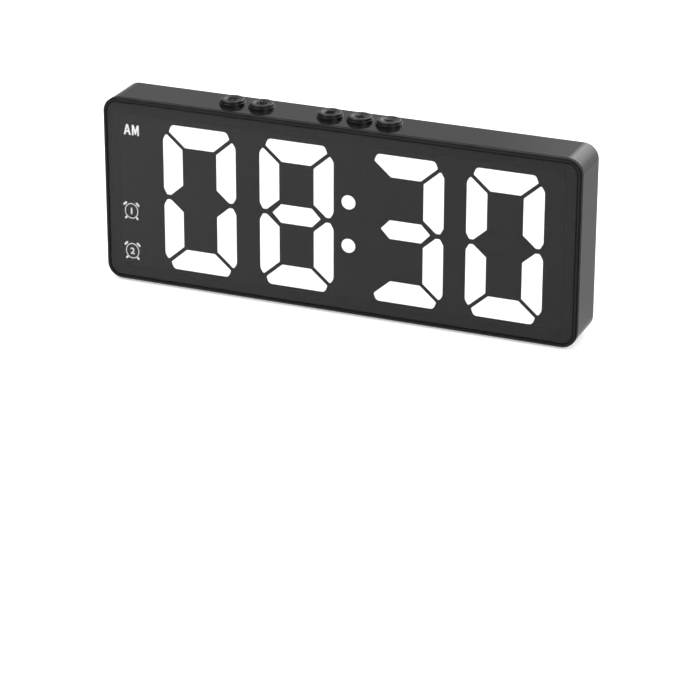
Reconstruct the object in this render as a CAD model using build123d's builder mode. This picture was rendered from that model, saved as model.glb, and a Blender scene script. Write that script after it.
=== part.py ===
from build123d import *
import math
import os

os.makedirs("parts", exist_ok=True)

# A slim desk clock: four large lit digits behind a smoked lens, five push buttons on top,
# three cells in a bay behind a hinged door, and an inlet for a supply lead in the rear wall.
# Millimetres. +X is to the right seen from the front, the front faces -Y, +Z is up.
# The origin is on the surface it stands on, under the middle of the body.

# Numerals, as seen from the front
digit_width = 25.2
digit_height = 48.9
side_stroke = 6.75
end_stroke = 7.2
middle_stroke = 6.26
segment_gap = 1.2
miter_angle = 41.0
end_tip_inset = 2.1
end_corner_inset = 3.0
side_tip_inset = 1.15
side_tip_drop = 1.85
foot_gap = 1.6
foot_outer_inset = 1.1
foot_inner_inset = 2.5
foot_shoulder = 2.0
middle_tip_reach = 3.0
colon_diameter = 4.7
colon_spread = 14.5
colon_pitch_share = 0.48
numerals_drop = 0.6
colon_drop = 0.85

# Rounding of the segments' corners
corner_round = 1.5
shoulder_round = 2.0
tip_round = 0.5
inner_round = 0.3

# Places of the numerals across the face
left_margin = 20.45
hours_pitch = 33.35
colon_pitch = 36.7
minutes_pitch = 32.55
right_margin = 11.75
end_margin = 6.3

# Signs at the left of the face
sign_column = 8.7
morning_sign_width = 5.8
morning_sign_height = 4.2
morning_sign_drop = 11.1
alarm_sign_diameter = 6.0
alarm_sign_rise = 9.45
alarm_sign_pitch = 13.75

# Body
corner_radius = 5.0
wall = 1.8
back_wall = 1.8
rear_edge_round = 1.2
rim_bevel = 0.5
rim_width = 1.3
seam_gap = 0.3
foot_height = 0.8

# Clearances
fit_gap = 0.1
thin_gap = 0.05
board_edge_gap = 0.3
lens_gap = 0.15
overrun = 1.0

# Layers from the lens to the battery door
lens_recess = 0.2
lens_thickness = 0.8
mask_gap = 0.15
light_box_depth = 2.95
board_thickness = 1.0
bay_front_gap = 0.2
bay_floor = 0.7
cell_gap = 0.15
cell_diameter = 10.5
door_thickness = 1.2

# Front frame
ledge_width = 3.7
ledge_thickness = 0.55
ledge_corner_radius = 4.0
tongue_wall = 1.1
shoulder_width = 1.0

# Corner screws that hold the housing to the frame
boss_inset = 4.5
frame_boss_diameter = 4.4
housing_tube_diameter = 5.6
counterbore_diameter = 4.0
tube_end = 1.2
boss_behind_board = 1.0
screw_diameter = 1.9
screw_head_diameter = 3.6
screw_head_height = 1.3
screw_grip = 3.2
screw_slot = 0.6
screw_slot_depth = 0.6

# Light box
light_box_gap = 0.25
diffuser_thickness = 1.4
diffuser_seat = 0.5
sign_skin = 0.4
chip_length = 1.6
chip_width = 0.8
chip_height = 0.6
chip_spacing = 4.0

# Battery bay
cell_length = 44.5
cell_nub_diameter = 3.8
cell_nub_length = 1.0
cell_edge = 0.5
cell_side_gap = 0.2
bay_side_gap = 1.0
bay_wall = 1.2
bay_offset = -18.0
bay_rise = 6.5
contact_thickness = 0.4
contact_size = 8.0
contact_round = 1.0
leaf_reach = 4.7
leaf_face = 3.0
leaf_width = 6.0
ridge_height = 1.2
ridge_width = 2.4

# Battery door
door_overlap = 2.0
door_gap = 0.25
door_corner = 1.0
door_edge_round = 0.3
hook_spacing = 30.0
hook_width = 6.0
hook_web = 0.7
hook_web_lift = 0.3
hook_thickness = 0.8
hook_depth = 1.0
hook_drop = 1.8
hook_slack = 0.5
catch_width = 12.0
catch_length = 7.0
catch_slit = 0.8
catch_nose = 1.0
catch_lip_gap = 0.3
grip_count = 4
grip_pitch = 1.4
grip_groove = 0.6
grip_depth = 0.3
scoop_diameter = 14.0

# Push buttons along the top
button_y = 0.6
cap_diameter = 7.6
cap_rise = 0.8
cap_round = 0.3
cap_gap = 0.1
dish_diameter = 5.6
dish_depth = 0.45
collar_height = 0.8
collar_wall = 0.35
collar_round = 0.15
cap_flange_diameter = 8.8
cap_flange = 0.8
cap_stem_diameter = 3.0
cap_stem = 1.0
button_travel = 0.5

# Switches and their board
switch_side = 6.0
switch_height = 3.4
switch_corner = 0.5
plunger_diameter = 3.4
plunger_rise = 0.9
plunger_root = 1.0
leg_width = 0.7
leg_reach = 0.6
leg_thickness = 0.3
leg_spread = 4.5
key_board_width = 74.0
key_board_depth = 9.6
key_board_gap = 0.5
key_boss_diameter = 4.0
key_boss_edge = 3.0
key_row_offset = -12.45
key_row_shares = [42, 52, 209, 209, 50, 36, 42]
small_screw_diameter = 1.5
small_head_diameter = 3.0
small_head_height = 0.9
small_screw_grip = 3.6
small_screw_slot = 0.5
small_slot_depth = 0.4

# Main board at the right, parallel to the rear wall
main_board_width = 38.0
main_board_height = 40.0
main_board_thickness = 1.2
main_board_side_gap = 6.5
main_board_rise = 7.5
main_post_diameter = 4.4
main_post_inset = 3.2

# Supply inlet, a standing socket on the main board
socket_width = 9.0
socket_height = 3.3
socket_length = 6.5
socket_recess = 0.6
socket_wall = 0.3
socket_gap = 0.2
socket_rise = 8.0
socket_tongue_thickness = 0.7
socket_tongue_width = 6.6
socket_floor = 1.5

# Buzzer and its sound holes
buzzer_diameter = 12.0
buzzer_wall_gap = 0.3
buzzer_hole_diameter = 2.0
buzzer_hole_depth = 1.5
buzzer_rise = 26.0
sound_hole_diameter = 1.2
sound_ring_diameter = 5.6
sound_ring_count = 6

# Other pieces on the main board
clock_chip_length = 12.8
clock_chip_width = 7.5
clock_chip_height = 2.2
clock_lead_count = 9
clock_lead_pitch = 1.27
clock_lead_width = 0.5
clock_lead_reach = 1.2
clock_lead_thickness = 0.4
clock_chip_rise_share = 0.6
crystal_length = 10.5
crystal_width = 4.4
crystal_height = 3.4
crystal_side = 9.0
crystal_rise = 8.0
capacitor_diameter = 5.0
capacitor_height = 4.6
capacitor_base = 5.6
capacitor_base_height = 0.8
capacitor_groove = 0.3
capacitor_side = 12.5
capacitor_rise = 12.0
header_length = 20.3
header_width = 4.8
header_rise_share = 0.875
header_split = 0.3

# Posts on the rear wall that press the display board on its shoulder
clamp_post_diameter = 3.2
clamp_side_inset = 20.0
clamp_high_share = 0.72
clamp_low_share = 0.27
clamp_middle_gap = 9.0
clamp_right_inset = 5.6

# Foot pads
pad_length = 12.0
pad_width = 3.6
pad_sink = 0.5
pad_side_inset = 18.0
pad_edge_inset = 3.2

# Sizes that follow from those above
body_width = left_margin + digit_width + hours_pitch + colon_pitch + minutes_pitch + right_margin
body_height = digit_height + 2 * end_margin
body_depth = (
    lens_recess
    + lens_thickness
    + mask_gap
    + light_box_depth
    + board_thickness
    + bay_front_gap
    + bay_floor
    + 2 * cell_gap
    + cell_diameter
    + door_thickness
)
front_y = -body_depth / 2
rear_y = body_depth / 2
right_x = body_width / 2
left_x = -right_x
bottom_z = foot_height
top_z = bottom_z + body_height
middle_z = (bottom_z + top_z) / 2

inner_width = body_width - 2 * wall
inner_height = body_height - 2 * wall
inner_radius = corner_radius - wall
inner_top_z = top_z - wall
inner_rear_y = rear_y - back_wall

lens_rear_y = front_y + lens_recess + lens_thickness
rim_rear_y = lens_rear_y + ledge_thickness
housing_front_y = rim_rear_y + seam_gap
light_box_front_y = lens_rear_y + mask_gap
light_box_rear_y = light_box_front_y + light_box_depth
board_front_y = light_box_rear_y
board_rear_y = board_front_y + board_thickness
bay_floor_front_y = board_rear_y + bay_front_gap
bay_floor_rear_y = bay_floor_front_y + bay_floor
cell_y = bay_floor_rear_y + cell_gap + cell_diameter / 2
door_inner_y = rear_y - door_thickness

pocket_width = body_width - 2 * rim_width
pocket_height = body_height - 2 * rim_width
pocket_radius = corner_radius - rim_width
opening_width = pocket_width - 2 * ledge_width
opening_height = pocket_height - 2 * ledge_width
light_box_width = opening_width - 2 * light_box_gap
light_box_height = opening_height - 2 * light_box_gap
light_box_radius = ledge_corner_radius - light_box_gap
tongue_width = inner_width - 2 * fit_gap
tongue_height = inner_height - 2 * fit_gap
tongue_radius = inner_radius - fit_gap
tongue_inner_width = tongue_width - 2 * tongue_wall
tongue_inner_height = tongue_height - 2 * tongue_wall
tongue_inner_radius = tongue_radius - tongue_wall
board_width = tongue_inner_width - 2 * board_edge_gap
board_height = tongue_inner_height - 2 * board_edge_gap

boss_x = right_x - boss_inset
boss_half_height = body_height / 2 - boss_inset
boss_rear_y = board_rear_y + boss_behind_board
boss_places = [(side * boss_x, middle_z + up * boss_half_height) for side in (-1, 1) for up in (-1, 1)]
seat_y = boss_rear_y + tube_end

hour_tens_x = left_x + left_margin + digit_width / 2
hour_units_x = hour_tens_x + hours_pitch
minute_tens_x = hour_units_x + colon_pitch
minute_units_x = minute_tens_x + minutes_pitch
colon_x = hour_units_x + colon_pitch * colon_pitch_share
numerals_z = middle_z - numerals_drop
colon_places = [(colon_x, middle_z - colon_drop + side * colon_spread / 2) for side in (-1, 1)]
sign_x = left_x + sign_column
morning_sign_z = top_z - morning_sign_drop
alarm_sign_places = [(sign_x, bottom_z + alarm_sign_rise + step * alarm_sign_pitch) for step in (0, 1)]

digit_places = {
    "hour_tens": hour_tens_x,
    "hour_units": hour_units_x,
    "minute_tens": minute_tens_x,
    "minute_units": minute_units_x,
}
lit_segments = {
    "hour_tens": "abcdef",
    "hour_units": "abcdefg",
    "minute_tens": "abcdg",
    "minute_units": "abcdef",
}
all_segments = "abcdefg"

bay_length = cell_length + contact_thickness + leaf_reach + contact_thickness
bay_height = 3 * cell_diameter + 2 * cell_side_gap + 2 * bay_side_gap
bay_x = bay_offset
bay_bottom_z = bottom_z + bay_rise
bay_z = bay_bottom_z + bay_height / 2
bay_left_x = bay_x - bay_length / 2
bay_right_x = bay_x + bay_length / 2
cell_pitch = cell_diameter + cell_side_gap
door_width = bay_length + 2 * door_overlap
door_height = bay_height + 2 * door_overlap
door_bottom_z = bay_bottom_z - door_overlap
door_top_z = door_bottom_z + door_height

main_board_right_x = right_x - wall - main_board_side_gap
main_board_x = main_board_right_x - main_board_width / 2
main_board_bottom_z = bottom_z + main_board_rise
main_board_z = main_board_bottom_z + main_board_height / 2
main_board_rear_y = rear_y - socket_recess - socket_length
main_board_front_y = main_board_rear_y - main_board_thickness
main_post_places = [
    (
        main_board_x + side * (main_board_width / 2 - main_post_inset),
        main_board_z + up * (main_board_height / 2 - main_post_inset),
    )
    for side in (-1, 1)
    for up in (-1, 1)
]
socket_z = main_board_bottom_z + socket_rise
buzzer_z = main_board_bottom_z + buzzer_rise

cap_bottom_z = inner_top_z - fit_gap - cap_flange - cap_stem
plunger_top_z = cap_bottom_z
switch_top_z = plunger_top_z - plunger_rise
switch_bottom_z = switch_top_z - switch_height
key_board_top_z = switch_bottom_z
key_board_bottom_z = key_board_top_z - board_thickness
key_board_x = key_row_offset
key_board_front_y = board_rear_y + key_board_gap
key_board_y = key_board_front_y + key_board_depth / 2
collar_diameter = cap_diameter + 2 * cap_gap + 2 * collar_wall
cap_top_z = top_z + collar_height + cap_rise
dish_radius = (dish_diameter**2 / 4 + dish_depth**2) / (2 * dish_depth)

# Along the key board: boss, two buttons, boss, three buttons, boss, with its free width shared out between them
beside_boss = (key_boss_diameter + cap_flange_diameter) / 2
row_steps = [
    beside_boss,
    cap_flange_diameter,
    beside_boss,
    beside_boss,
    cap_flange_diameter,
    cap_flange_diameter,
    beside_boss,
]
row_width = key_board_width - 2 * key_boss_edge
row_spare = row_width - sum(row_steps)
row_places = [key_board_x - row_width / 2]
for step, share in zip(row_steps, key_row_shares):
    row_places.append(row_places[-1] + step + row_spare * share / sum(key_row_shares))
button_places = row_places[1:3] + row_places[4:7]
key_boss_places = [(row_places[number], button_y) for number in (0, 3, 7)]

clamp_places = [
    (left_x + clamp_side_inset, bottom_z + body_height * clamp_high_share),
    (left_x + clamp_side_inset, bottom_z + body_height * clamp_low_share),
    (bay_right_x + bay_wall + clamp_middle_gap, middle_z),
    (right_x - clamp_right_inset, middle_z),
]

pad_places = {
    "foot_front_left": (left_x + pad_side_inset, housing_front_y + pad_edge_inset),
    "foot_front_right": (right_x - pad_side_inset, housing_front_y + pad_edge_inset),
    "foot_rear_left": (left_x + pad_side_inset, rear_y - pad_edge_inset - rear_edge_round),
    "foot_rear_right": (right_x - pad_side_inset, rear_y - pad_edge_inset - rear_edge_round),
}


def upright(y):
    """The plane at depth y seen from the front: its x is +X, its y is +Z and it faces the viewer."""
    return Plane.XZ.offset(-y)


def level(z):
    """The level plane at height z, facing up."""
    return Plane.XY.offset(z)


def inset_outline(points, inset):
    """Move every side of a closed anticlockwise outline inwards by the inset."""
    moved = []
    for index, corner in enumerate(points):
        before = points[index - 1]
        after = points[(index + 1) % len(points)]
        first = math.atan2(corner[1] - before[1], corner[0] - before[0])
        second = math.atan2(after[1] - corner[1], after[0] - corner[0])
        half_turn = (second - first) / 2
        bisector = (first + second) / 2 + math.pi / 2
        if math.cos(half_turn) < 0:
            bisector += math.pi
        reach = inset / abs(math.cos(half_turn))
        moved.append((corner[0] + reach * math.cos(bisector), corner[1] + reach * math.sin(bisector)))
    return moved


def end_segment():
    """The top bar of a numeral, about the numeral's centre, with a corner radius for each point."""
    half_width = digit_width / 2
    half_height = digit_height / 2
    slope = math.radians(miter_angle)
    inner_x = half_width - side_stroke - segment_gap / 2 / math.sin(slope)
    inner_z = half_height - end_stroke
    tip_x = half_width - end_tip_inset
    tip_z = inner_z + (tip_x - inner_x) * math.tan(slope)
    top_x = half_width - end_corner_inset
    points = [
        (-inner_x, inner_z),
        (inner_x, inner_z),
        (tip_x, tip_z),
        (top_x, half_height),
        (-top_x, half_height),
        (-tip_x, tip_z),
    ]
    return points, [inner_round, inner_round, tip_round, corner_round, corner_round, tip_round]


def side_segment():
    """The upper right bar of a numeral, about the numeral's centre."""
    half_width = digit_width / 2
    slope = math.radians(miter_angle)
    inner_x = half_width - side_stroke
    inner_top_z_local = digit_height / 2 - end_stroke - segment_gap / 2 / math.cos(slope)
    tip_x = half_width - side_tip_inset
    tip_z = inner_top_z_local + (tip_x - inner_x) * math.tan(slope)
    foot_z = foot_gap / 2
    foot_inner_x = half_width - foot_inner_inset
    inner_bottom_z = foot_z + (foot_inner_x - inner_x) * math.tan(slope)
    points = [
        (inner_x, inner_top_z_local),
        (inner_x, inner_bottom_z),
        (foot_inner_x, foot_z),
        (half_width - foot_outer_inset, foot_z),
        (half_width, foot_z + foot_shoulder),
        (half_width, tip_z - side_tip_drop),
        (tip_x, tip_z),
    ]
    radii = [inner_round, inner_round, tip_round, tip_round, corner_round, shoulder_round, tip_round]
    return points, radii


def middle_segment():
    """The middle bar of a numeral, a flat hexagon about the numeral's centre."""
    corner_x = digit_width / 2 - side_stroke - segment_gap / 2
    corner_z = middle_stroke / 2
    points = [
        (-corner_x, -corner_z),
        (corner_x, -corner_z),
        (corner_x + middle_tip_reach, 0),
        (corner_x, corner_z),
        (-corner_x, corner_z),
        (-corner_x - middle_tip_reach, 0),
    ]
    return points, [inner_round] * len(points)


def segment_points(letter):
    """The outline of one lettered bar: the bars are mirror images of three shapes."""
    shapes = {
        "a": (end_segment, 1, 1),
        "b": (side_segment, 1, 1),
        "c": (side_segment, 1, -1),
        "d": (end_segment, 1, -1),
        "e": (side_segment, -1, -1),
        "f": (side_segment, -1, 1),
        "g": (middle_segment, 1, 1),
    }
    shape, flip_x, flip_z = shapes[letter]
    points, radii = shape()
    points = [(x * flip_x, z * flip_z) for x, z in points]
    if flip_x * flip_z < 0:
        points = points[::-1]
        radii = radii[::-1]
    return points, radii


def segment_face(letter, digit_x, inset):
    """Draw one bar into the sketch that is open, its sides moved inwards by the inset."""
    points, radii = segment_points(letter)
    points = inset_outline(points, inset)
    with BuildLine() as outline:
        FilletPolyline(
            *[(digit_x + x, numerals_z + z) for x, z in points],
            radius=[max(radius - inset, thin_gap) for radius in radii],
            close=True,
        )
    make_face(outline.edges())


def segment_chips(letter):
    """The centres of the two light chips behind a bar, about the numeral's centre, and their turn."""
    column_x = (digit_width - side_stroke) / 2
    row_z = (digit_height - end_stroke) / 2
    side_z = (digit_height / 2 - end_stroke + middle_stroke / 2) / 2
    centres = {
        "a": (0, row_z),
        "b": (column_x, side_z),
        "c": (column_x, -side_z),
        "d": (0, -row_z),
        "e": (-column_x, -side_z),
        "f": (-column_x, side_z),
        "g": (0, 0),
    }
    x, z = centres[letter]
    half_step = chip_spacing / 2
    if letter in "adg":
        return [(x - half_step, z), (x + half_step, z)], 0
    return [(x, z - half_step), (x, z + half_step)], 90


def body_outline(width, height, radius):
    """A rounded rectangle about the middle of the body, in the upright sketch that is open."""
    with Locations((0, middle_z)):
        RectangleRounded(width, height, radius)


# Front frame: the dark rim, the ledge behind the lens and the tongue that enters the housing
with BuildPart() as front_frame:
    with BuildSketch(upright(rim_rear_y)):
        body_outline(body_width, body_height, corner_radius)
    extrude(amount=rim_rear_y - front_y)
    chamfer(front_frame.faces().sort_by(Axis.Y)[0].edges(), rim_bevel)
    with BuildSketch(upright(board_rear_y)):
        body_outline(tongue_width, tongue_height, tongue_radius)
    extrude(amount=board_rear_y - rim_rear_y)
    with BuildSketch(upright(lens_rear_y)):
        body_outline(pocket_width, pocket_height, pocket_radius)
    extrude(amount=lens_rear_y - front_y + overrun, mode=Mode.SUBTRACT)
    with BuildSketch(upright(rim_rear_y)):
        body_outline(opening_width, opening_height, ledge_corner_radius)
    extrude(amount=ledge_thickness + overrun, mode=Mode.SUBTRACT)
    with BuildSketch(upright(board_front_y)):
        body_outline(
            tongue_inner_width - 2 * shoulder_width,
            tongue_inner_height - 2 * shoulder_width,
            tongue_inner_radius,
        )
    extrude(amount=board_front_y - rim_rear_y, mode=Mode.SUBTRACT)
    with BuildSketch(upright(board_rear_y + overrun)):
        body_outline(tongue_inner_width, tongue_inner_height, tongue_inner_radius)
    extrude(amount=board_thickness + overrun, mode=Mode.SUBTRACT)
    with BuildSketch(upright(boss_rear_y)):
        with Locations(*boss_places):
            Circle(frame_boss_diameter / 2)
    extrude(amount=boss_rear_y - rim_rear_y)
    with BuildSketch(upright(boss_rear_y)):
        with Locations(*boss_places):
            Circle(screw_diameter / 2 + thin_gap)
    extrude(amount=screw_grip + fit_gap, mode=Mode.SUBTRACT)
front_frame.part.label = "front_frame"
export_step(front_frame.part, "parts/front_frame.step")


# Smoked lens, almost flush in the rim
with BuildPart() as front_lens:
    with BuildSketch(upright(lens_rear_y)):
        body_outline(pocket_width - 2 * lens_gap, pocket_height - 2 * lens_gap, pocket_radius - lens_gap)
    extrude(amount=lens_thickness)
front_lens.part.label = "front_lens"
export_step(front_lens.part, "parts/front_lens.step")


# Light box: a plate with a stepped window for each bar, which seats a diffuser over its light well,
# and blind wells behind the signs, closed in front by a thin skin
with BuildPart() as display_reflector:
    with BuildSketch(upright(light_box_rear_y)):
        body_outline(light_box_width, light_box_height, light_box_radius)
    extrude(amount=light_box_depth)
    with BuildSketch(upright(light_box_front_y + diffuser_thickness)):
        for digit_x in digit_places.values():
            for letter in all_segments:
                segment_face(letter, digit_x, 0)
        with Locations(*colon_places):
            Circle(colon_diameter / 2)
    extrude(amount=diffuser_thickness + overrun, mode=Mode.SUBTRACT)
    with BuildSketch(upright(light_box_rear_y + overrun)):
        for digit_x in digit_places.values():
            for letter in all_segments:
                segment_face(letter, digit_x, diffuser_seat)
        with Locations(*colon_places):
            Circle(colon_diameter / 2 - diffuser_seat)
    extrude(amount=light_box_depth - diffuser_thickness + 2 * overrun, mode=Mode.SUBTRACT)
    with BuildSketch(upright(light_box_rear_y + overrun)):
        with Locations((sign_x, morning_sign_z)):
            RectangleRounded(morning_sign_width, morning_sign_height, corner_round)
        with Locations(*alarm_sign_places):
            Circle(alarm_sign_diameter / 2)
    extrude(amount=light_box_depth - sign_skin + overrun, mode=Mode.SUBTRACT)
display_reflector.part.label = "display_reflector"
export_step(display_reflector.part, "parts/display_reflector.step")


# Diffusers: the lit bars of each numeral, a group of separate solids
for digit, digit_x in digit_places.items():
    with BuildPart() as lit_bars:
        with BuildSketch(upright(light_box_front_y + diffuser_thickness)):
            for letter in lit_segments[digit]:
                segment_face(letter, digit_x, thin_gap)
        extrude(amount=diffuser_thickness)
    lit_bars.part.label = f"segments_{digit}"
    export_step(lit_bars.part, f"parts/segments_{digit}.step")


# Diffusers of the bars that stay dark at this time
with BuildPart() as unlit_bars:
    with BuildSketch(upright(light_box_front_y + diffuser_thickness)):
        for digit, digit_x in digit_places.items():
            for letter in all_segments:
                if letter not in lit_segments[digit]:
                    segment_face(letter, digit_x, thin_gap)
    extrude(amount=diffuser_thickness)
unlit_bars.part.label = "unlit_segments"
export_step(unlit_bars.part, "parts/unlit_segments.step")


# The two round diffusers between hours and minutes
with BuildPart() as colon_dots:
    with BuildSketch(upright(light_box_front_y + diffuser_thickness)):
        with Locations(*colon_places):
            Circle(colon_diameter / 2 - thin_gap)
    extrude(amount=diffuser_thickness)
colon_dots.part.label = "colon_dots"
export_step(colon_dots.part, "parts/colon_dots.step")


# Display board, notched round the frame's corner bosses
with BuildPart() as display_board:
    with BuildSketch(upright(board_rear_y)):
        body_outline(board_width, board_height, tongue_inner_radius)
        with Locations(*boss_places):
            Circle(frame_boss_diameter / 2 + board_edge_gap, mode=Mode.SUBTRACT)
    extrude(amount=board_thickness)
display_board.part.label = "display_board"
export_step(display_board.part, "parts/display_board.step")


# Light chips on the display board: two behind each bar, one behind each dot and sign
with BuildPart() as led_chips:
    with BuildSketch(upright(board_front_y)):
        for digit_x in digit_places.values():
            for letter in all_segments:
                centres, turn = segment_chips(letter)
                with Locations(*[(digit_x + x, numerals_z + z) for x, z in centres]):
                    Rectangle(chip_length, chip_width, rotation=turn)
        with Locations(*colon_places, (sign_x, morning_sign_z), *alarm_sign_places):
            Rectangle(chip_length, chip_width)
    extrude(amount=chip_height)
led_chips.part.label = "led_chips"
export_step(led_chips.part, "parts/led_chips.step")


# Rear housing: the shell with its rear wall, battery bay, screw tubes, posts and button collars
with BuildPart() as rear_housing:
    with BuildSketch(upright(rear_y)):
        body_outline(body_width, body_height, corner_radius)
    extrude(amount=rear_y - housing_front_y)
    fillet(rear_housing.faces().sort_by(Axis.Y)[-1].edges(), rear_edge_round)
    with BuildSketch(upright(inner_rear_y)):
        body_outline(inner_width, inner_height, inner_radius)
    extrude(amount=inner_rear_y - housing_front_y + overrun, mode=Mode.SUBTRACT)

    # Tubes for the corner screws, and posts for the main board and the display board
    with BuildSketch(upright(inner_rear_y)):
        with Locations(*boss_places):
            Circle(housing_tube_diameter / 2)
    extrude(amount=inner_rear_y - boss_rear_y)
    with BuildSketch(upright(inner_rear_y)):
        with Locations(*main_post_places):
            Circle(main_post_diameter / 2)
    extrude(amount=inner_rear_y - main_board_rear_y)
    with BuildSketch(upright(inner_rear_y)):
        with Locations(*clamp_places):
            Circle(clamp_post_diameter / 2)
    extrude(amount=inner_rear_y - board_rear_y - thin_gap)

    # Bosses under the top wall for the key board
    with BuildSketch(level(key_board_top_z)):
        with Locations(*key_boss_places):
            Circle(key_boss_diameter / 2)
    extrude(amount=inner_top_z - key_board_top_z)

    # Battery bay: its tray, the rebate for the door, ridges between the cells and slots for the hooks
    with BuildSketch(upright(inner_rear_y)):
        with Locations((bay_x, bay_z)):
            Rectangle(bay_length + 2 * bay_wall, bay_height + 2 * bay_wall)
    extrude(amount=inner_rear_y - bay_floor_front_y)
    with BuildSketch(upright(rear_y + overrun)):
        with Locations((bay_x, bay_z)):
            Rectangle(bay_length, bay_height)
    extrude(amount=rear_y + overrun - bay_floor_rear_y, mode=Mode.SUBTRACT)
    with BuildSketch(upright(rear_y + overrun)):
        with Locations((bay_x, bay_z)):
            RectangleRounded(door_width + 2 * door_gap, door_height + 2 * door_gap, door_corner + door_gap)
        with Locations((bay_x, door_top_z)):
            Circle(scoop_diameter / 2)
    extrude(amount=overrun + door_thickness, mode=Mode.SUBTRACT)
    with BuildSketch(Plane.YZ.offset(bay_left_x)):
        for side in (-1, 1):
            with BuildLine():
                Polyline(
                    (bay_floor_rear_y, bay_z + side * cell_pitch / 2 - ridge_width / 2),
                    (bay_floor_rear_y + ridge_height, bay_z + side * cell_pitch / 2),
                    (bay_floor_rear_y, bay_z + side * cell_pitch / 2 + ridge_width / 2),
                    close=True,
                )
            make_face()
    extrude(amount=bay_length)
    with BuildSketch(level(bay_bottom_z)):
        with Locations(*[(bay_x + side * hook_spacing / 2, door_inner_y - hook_depth) for side in (-1, 1)]):
            Rectangle(hook_width + 2 * hook_slack, 2 * hook_thickness + 2 * hook_slack)
    extrude(amount=-bay_wall, mode=Mode.SUBTRACT)

    # Screw holes: deep from the rear at the corners, blind in the posts and bosses
    with BuildSketch(upright(rear_y + overrun)):
        with Locations(*boss_places):
            Circle(counterbore_diameter / 2)
    extrude(amount=rear_y + overrun - seat_y, mode=Mode.SUBTRACT)
    with BuildSketch(upright(seat_y)):
        with Locations(*boss_places):
            Circle(screw_diameter / 2 + fit_gap)
    extrude(amount=tube_end + overrun, mode=Mode.SUBTRACT)
    with BuildSketch(upright(main_board_rear_y)):
        with Locations(*main_post_places):
            Circle(small_screw_diameter / 2 + thin_gap)
    extrude(amount=-(small_screw_grip + fit_gap), mode=Mode.SUBTRACT)
    with BuildSketch(level(key_board_top_z)):
        with Locations(*key_boss_places):
            Circle(small_screw_diameter / 2 + thin_gap)
    extrude(amount=small_screw_grip + fit_gap, mode=Mode.SUBTRACT)

    # Button collars and holes
    with BuildSketch(level(top_z)):
        with Locations(*[(x, button_y) for x in button_places]):
            Circle(collar_diameter / 2)
    extrude(amount=collar_height)
    fillet(rear_housing.faces().filter_by(Axis.Z).group_by(Axis.Z)[-1].edges(), collar_round)
    with BuildSketch(level(inner_top_z - overrun)):
        with Locations(*[(x, button_y) for x in button_places]):
            Circle(cap_diameter / 2 + cap_gap)
    extrude(amount=wall + collar_height + 2 * overrun, mode=Mode.SUBTRACT)

    # Supply inlet and sound holes in the rear wall
    with BuildSketch(upright(rear_y + overrun)):
        with Locations((main_board_x, socket_z)):
            SlotOverall(socket_width + 2 * socket_gap, socket_height + 2 * socket_gap)
    extrude(amount=back_wall + 2 * overrun, mode=Mode.SUBTRACT)
    with BuildSketch(upright(rear_y + overrun)):
        with Locations((main_board_x, buzzer_z)):
            Circle(sound_hole_diameter / 2)
            with PolarLocations(sound_ring_diameter / 2, sound_ring_count):
                Circle(sound_hole_diameter / 2)
    extrude(amount=back_wall + 2 * overrun, mode=Mode.SUBTRACT)

    # Shallow seats for the foot pads
    with BuildSketch(level(bottom_z)):
        with Locations(*pad_places.values()):
            SlotOverall(pad_length + 2 * thin_gap, pad_width + 2 * thin_gap)
    extrude(amount=pad_sink, mode=Mode.SUBTRACT)
rear_housing.part.label = "rear_housing"
export_step(rear_housing.part, "parts/rear_housing.step")


# Battery door: a plate with two hooks at its lower edge and a sprung catch at its upper edge
with BuildPart() as battery_door:
    with BuildSketch(upright(rear_y)):
        with Locations((bay_x, bay_z)):
            RectangleRounded(door_width, door_height, door_corner)
    extrude(amount=door_thickness)
    fillet(battery_door.faces().sort_by(Axis.Y)[-1].edges(), door_edge_round)
    with BuildSketch(upright(rear_y + overrun)):
        with Locations((bay_x, door_top_z - catch_length / 2)):
            with GridLocations(catch_width + catch_slit, overrun, 2, 1):
                Rectangle(catch_slit, catch_length + overrun)
    extrude(amount=door_thickness + 2 * overrun, mode=Mode.SUBTRACT)
    with BuildSketch(upright(door_inner_y)):
        with Locations((bay_x, bay_z + bay_height / 2 - catch_lip_gap - catch_nose / 2)):
            Rectangle(catch_width - 2 * catch_slit, catch_nose)
    extrude(amount=catch_nose)
    with BuildSketch(upright(rear_y + overrun)):
        for step in range(grip_count):
            with Locations((bay_x, door_top_z - door_overlap - step * grip_pitch)):
                Rectangle(catch_width - 2 * catch_slit, grip_groove)
    extrude(amount=overrun + grip_depth, mode=Mode.SUBTRACT)
    for side in (-1, 1):
        hook_left_x = bay_x + side * hook_spacing / 2 - hook_width / 2
        web_bottom_z = bay_bottom_z + hook_web_lift
        hook_rear_y = door_inner_y - hook_depth
        with BuildSketch(Plane.YZ.offset(hook_left_x)):
            with BuildLine():
                Polyline(
                    (door_inner_y + overrun / 2, web_bottom_z + hook_web),
                    (hook_rear_y - hook_thickness, web_bottom_z + hook_web),
                    (hook_rear_y - hook_thickness, bay_bottom_z - hook_drop + hook_thickness),
                    (hook_rear_y - hook_thickness / 2, bay_bottom_z - hook_drop),
                    (hook_rear_y, bay_bottom_z - hook_drop),
                    (hook_rear_y, web_bottom_z),
                    (door_inner_y + overrun / 2, web_bottom_z),
                    close=True,
                )
            make_face()
        extrude(amount=hook_width)
battery_door.part.label = "battery_door"
export_step(battery_door.part, "parts/battery_door.step")


def cell_row(row):
    """Height and facing of a cell: the outer cells face right, the middle one faces left."""
    return bay_z + (row - 1) * cell_pitch, 1 if row != 1 else -1


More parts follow.
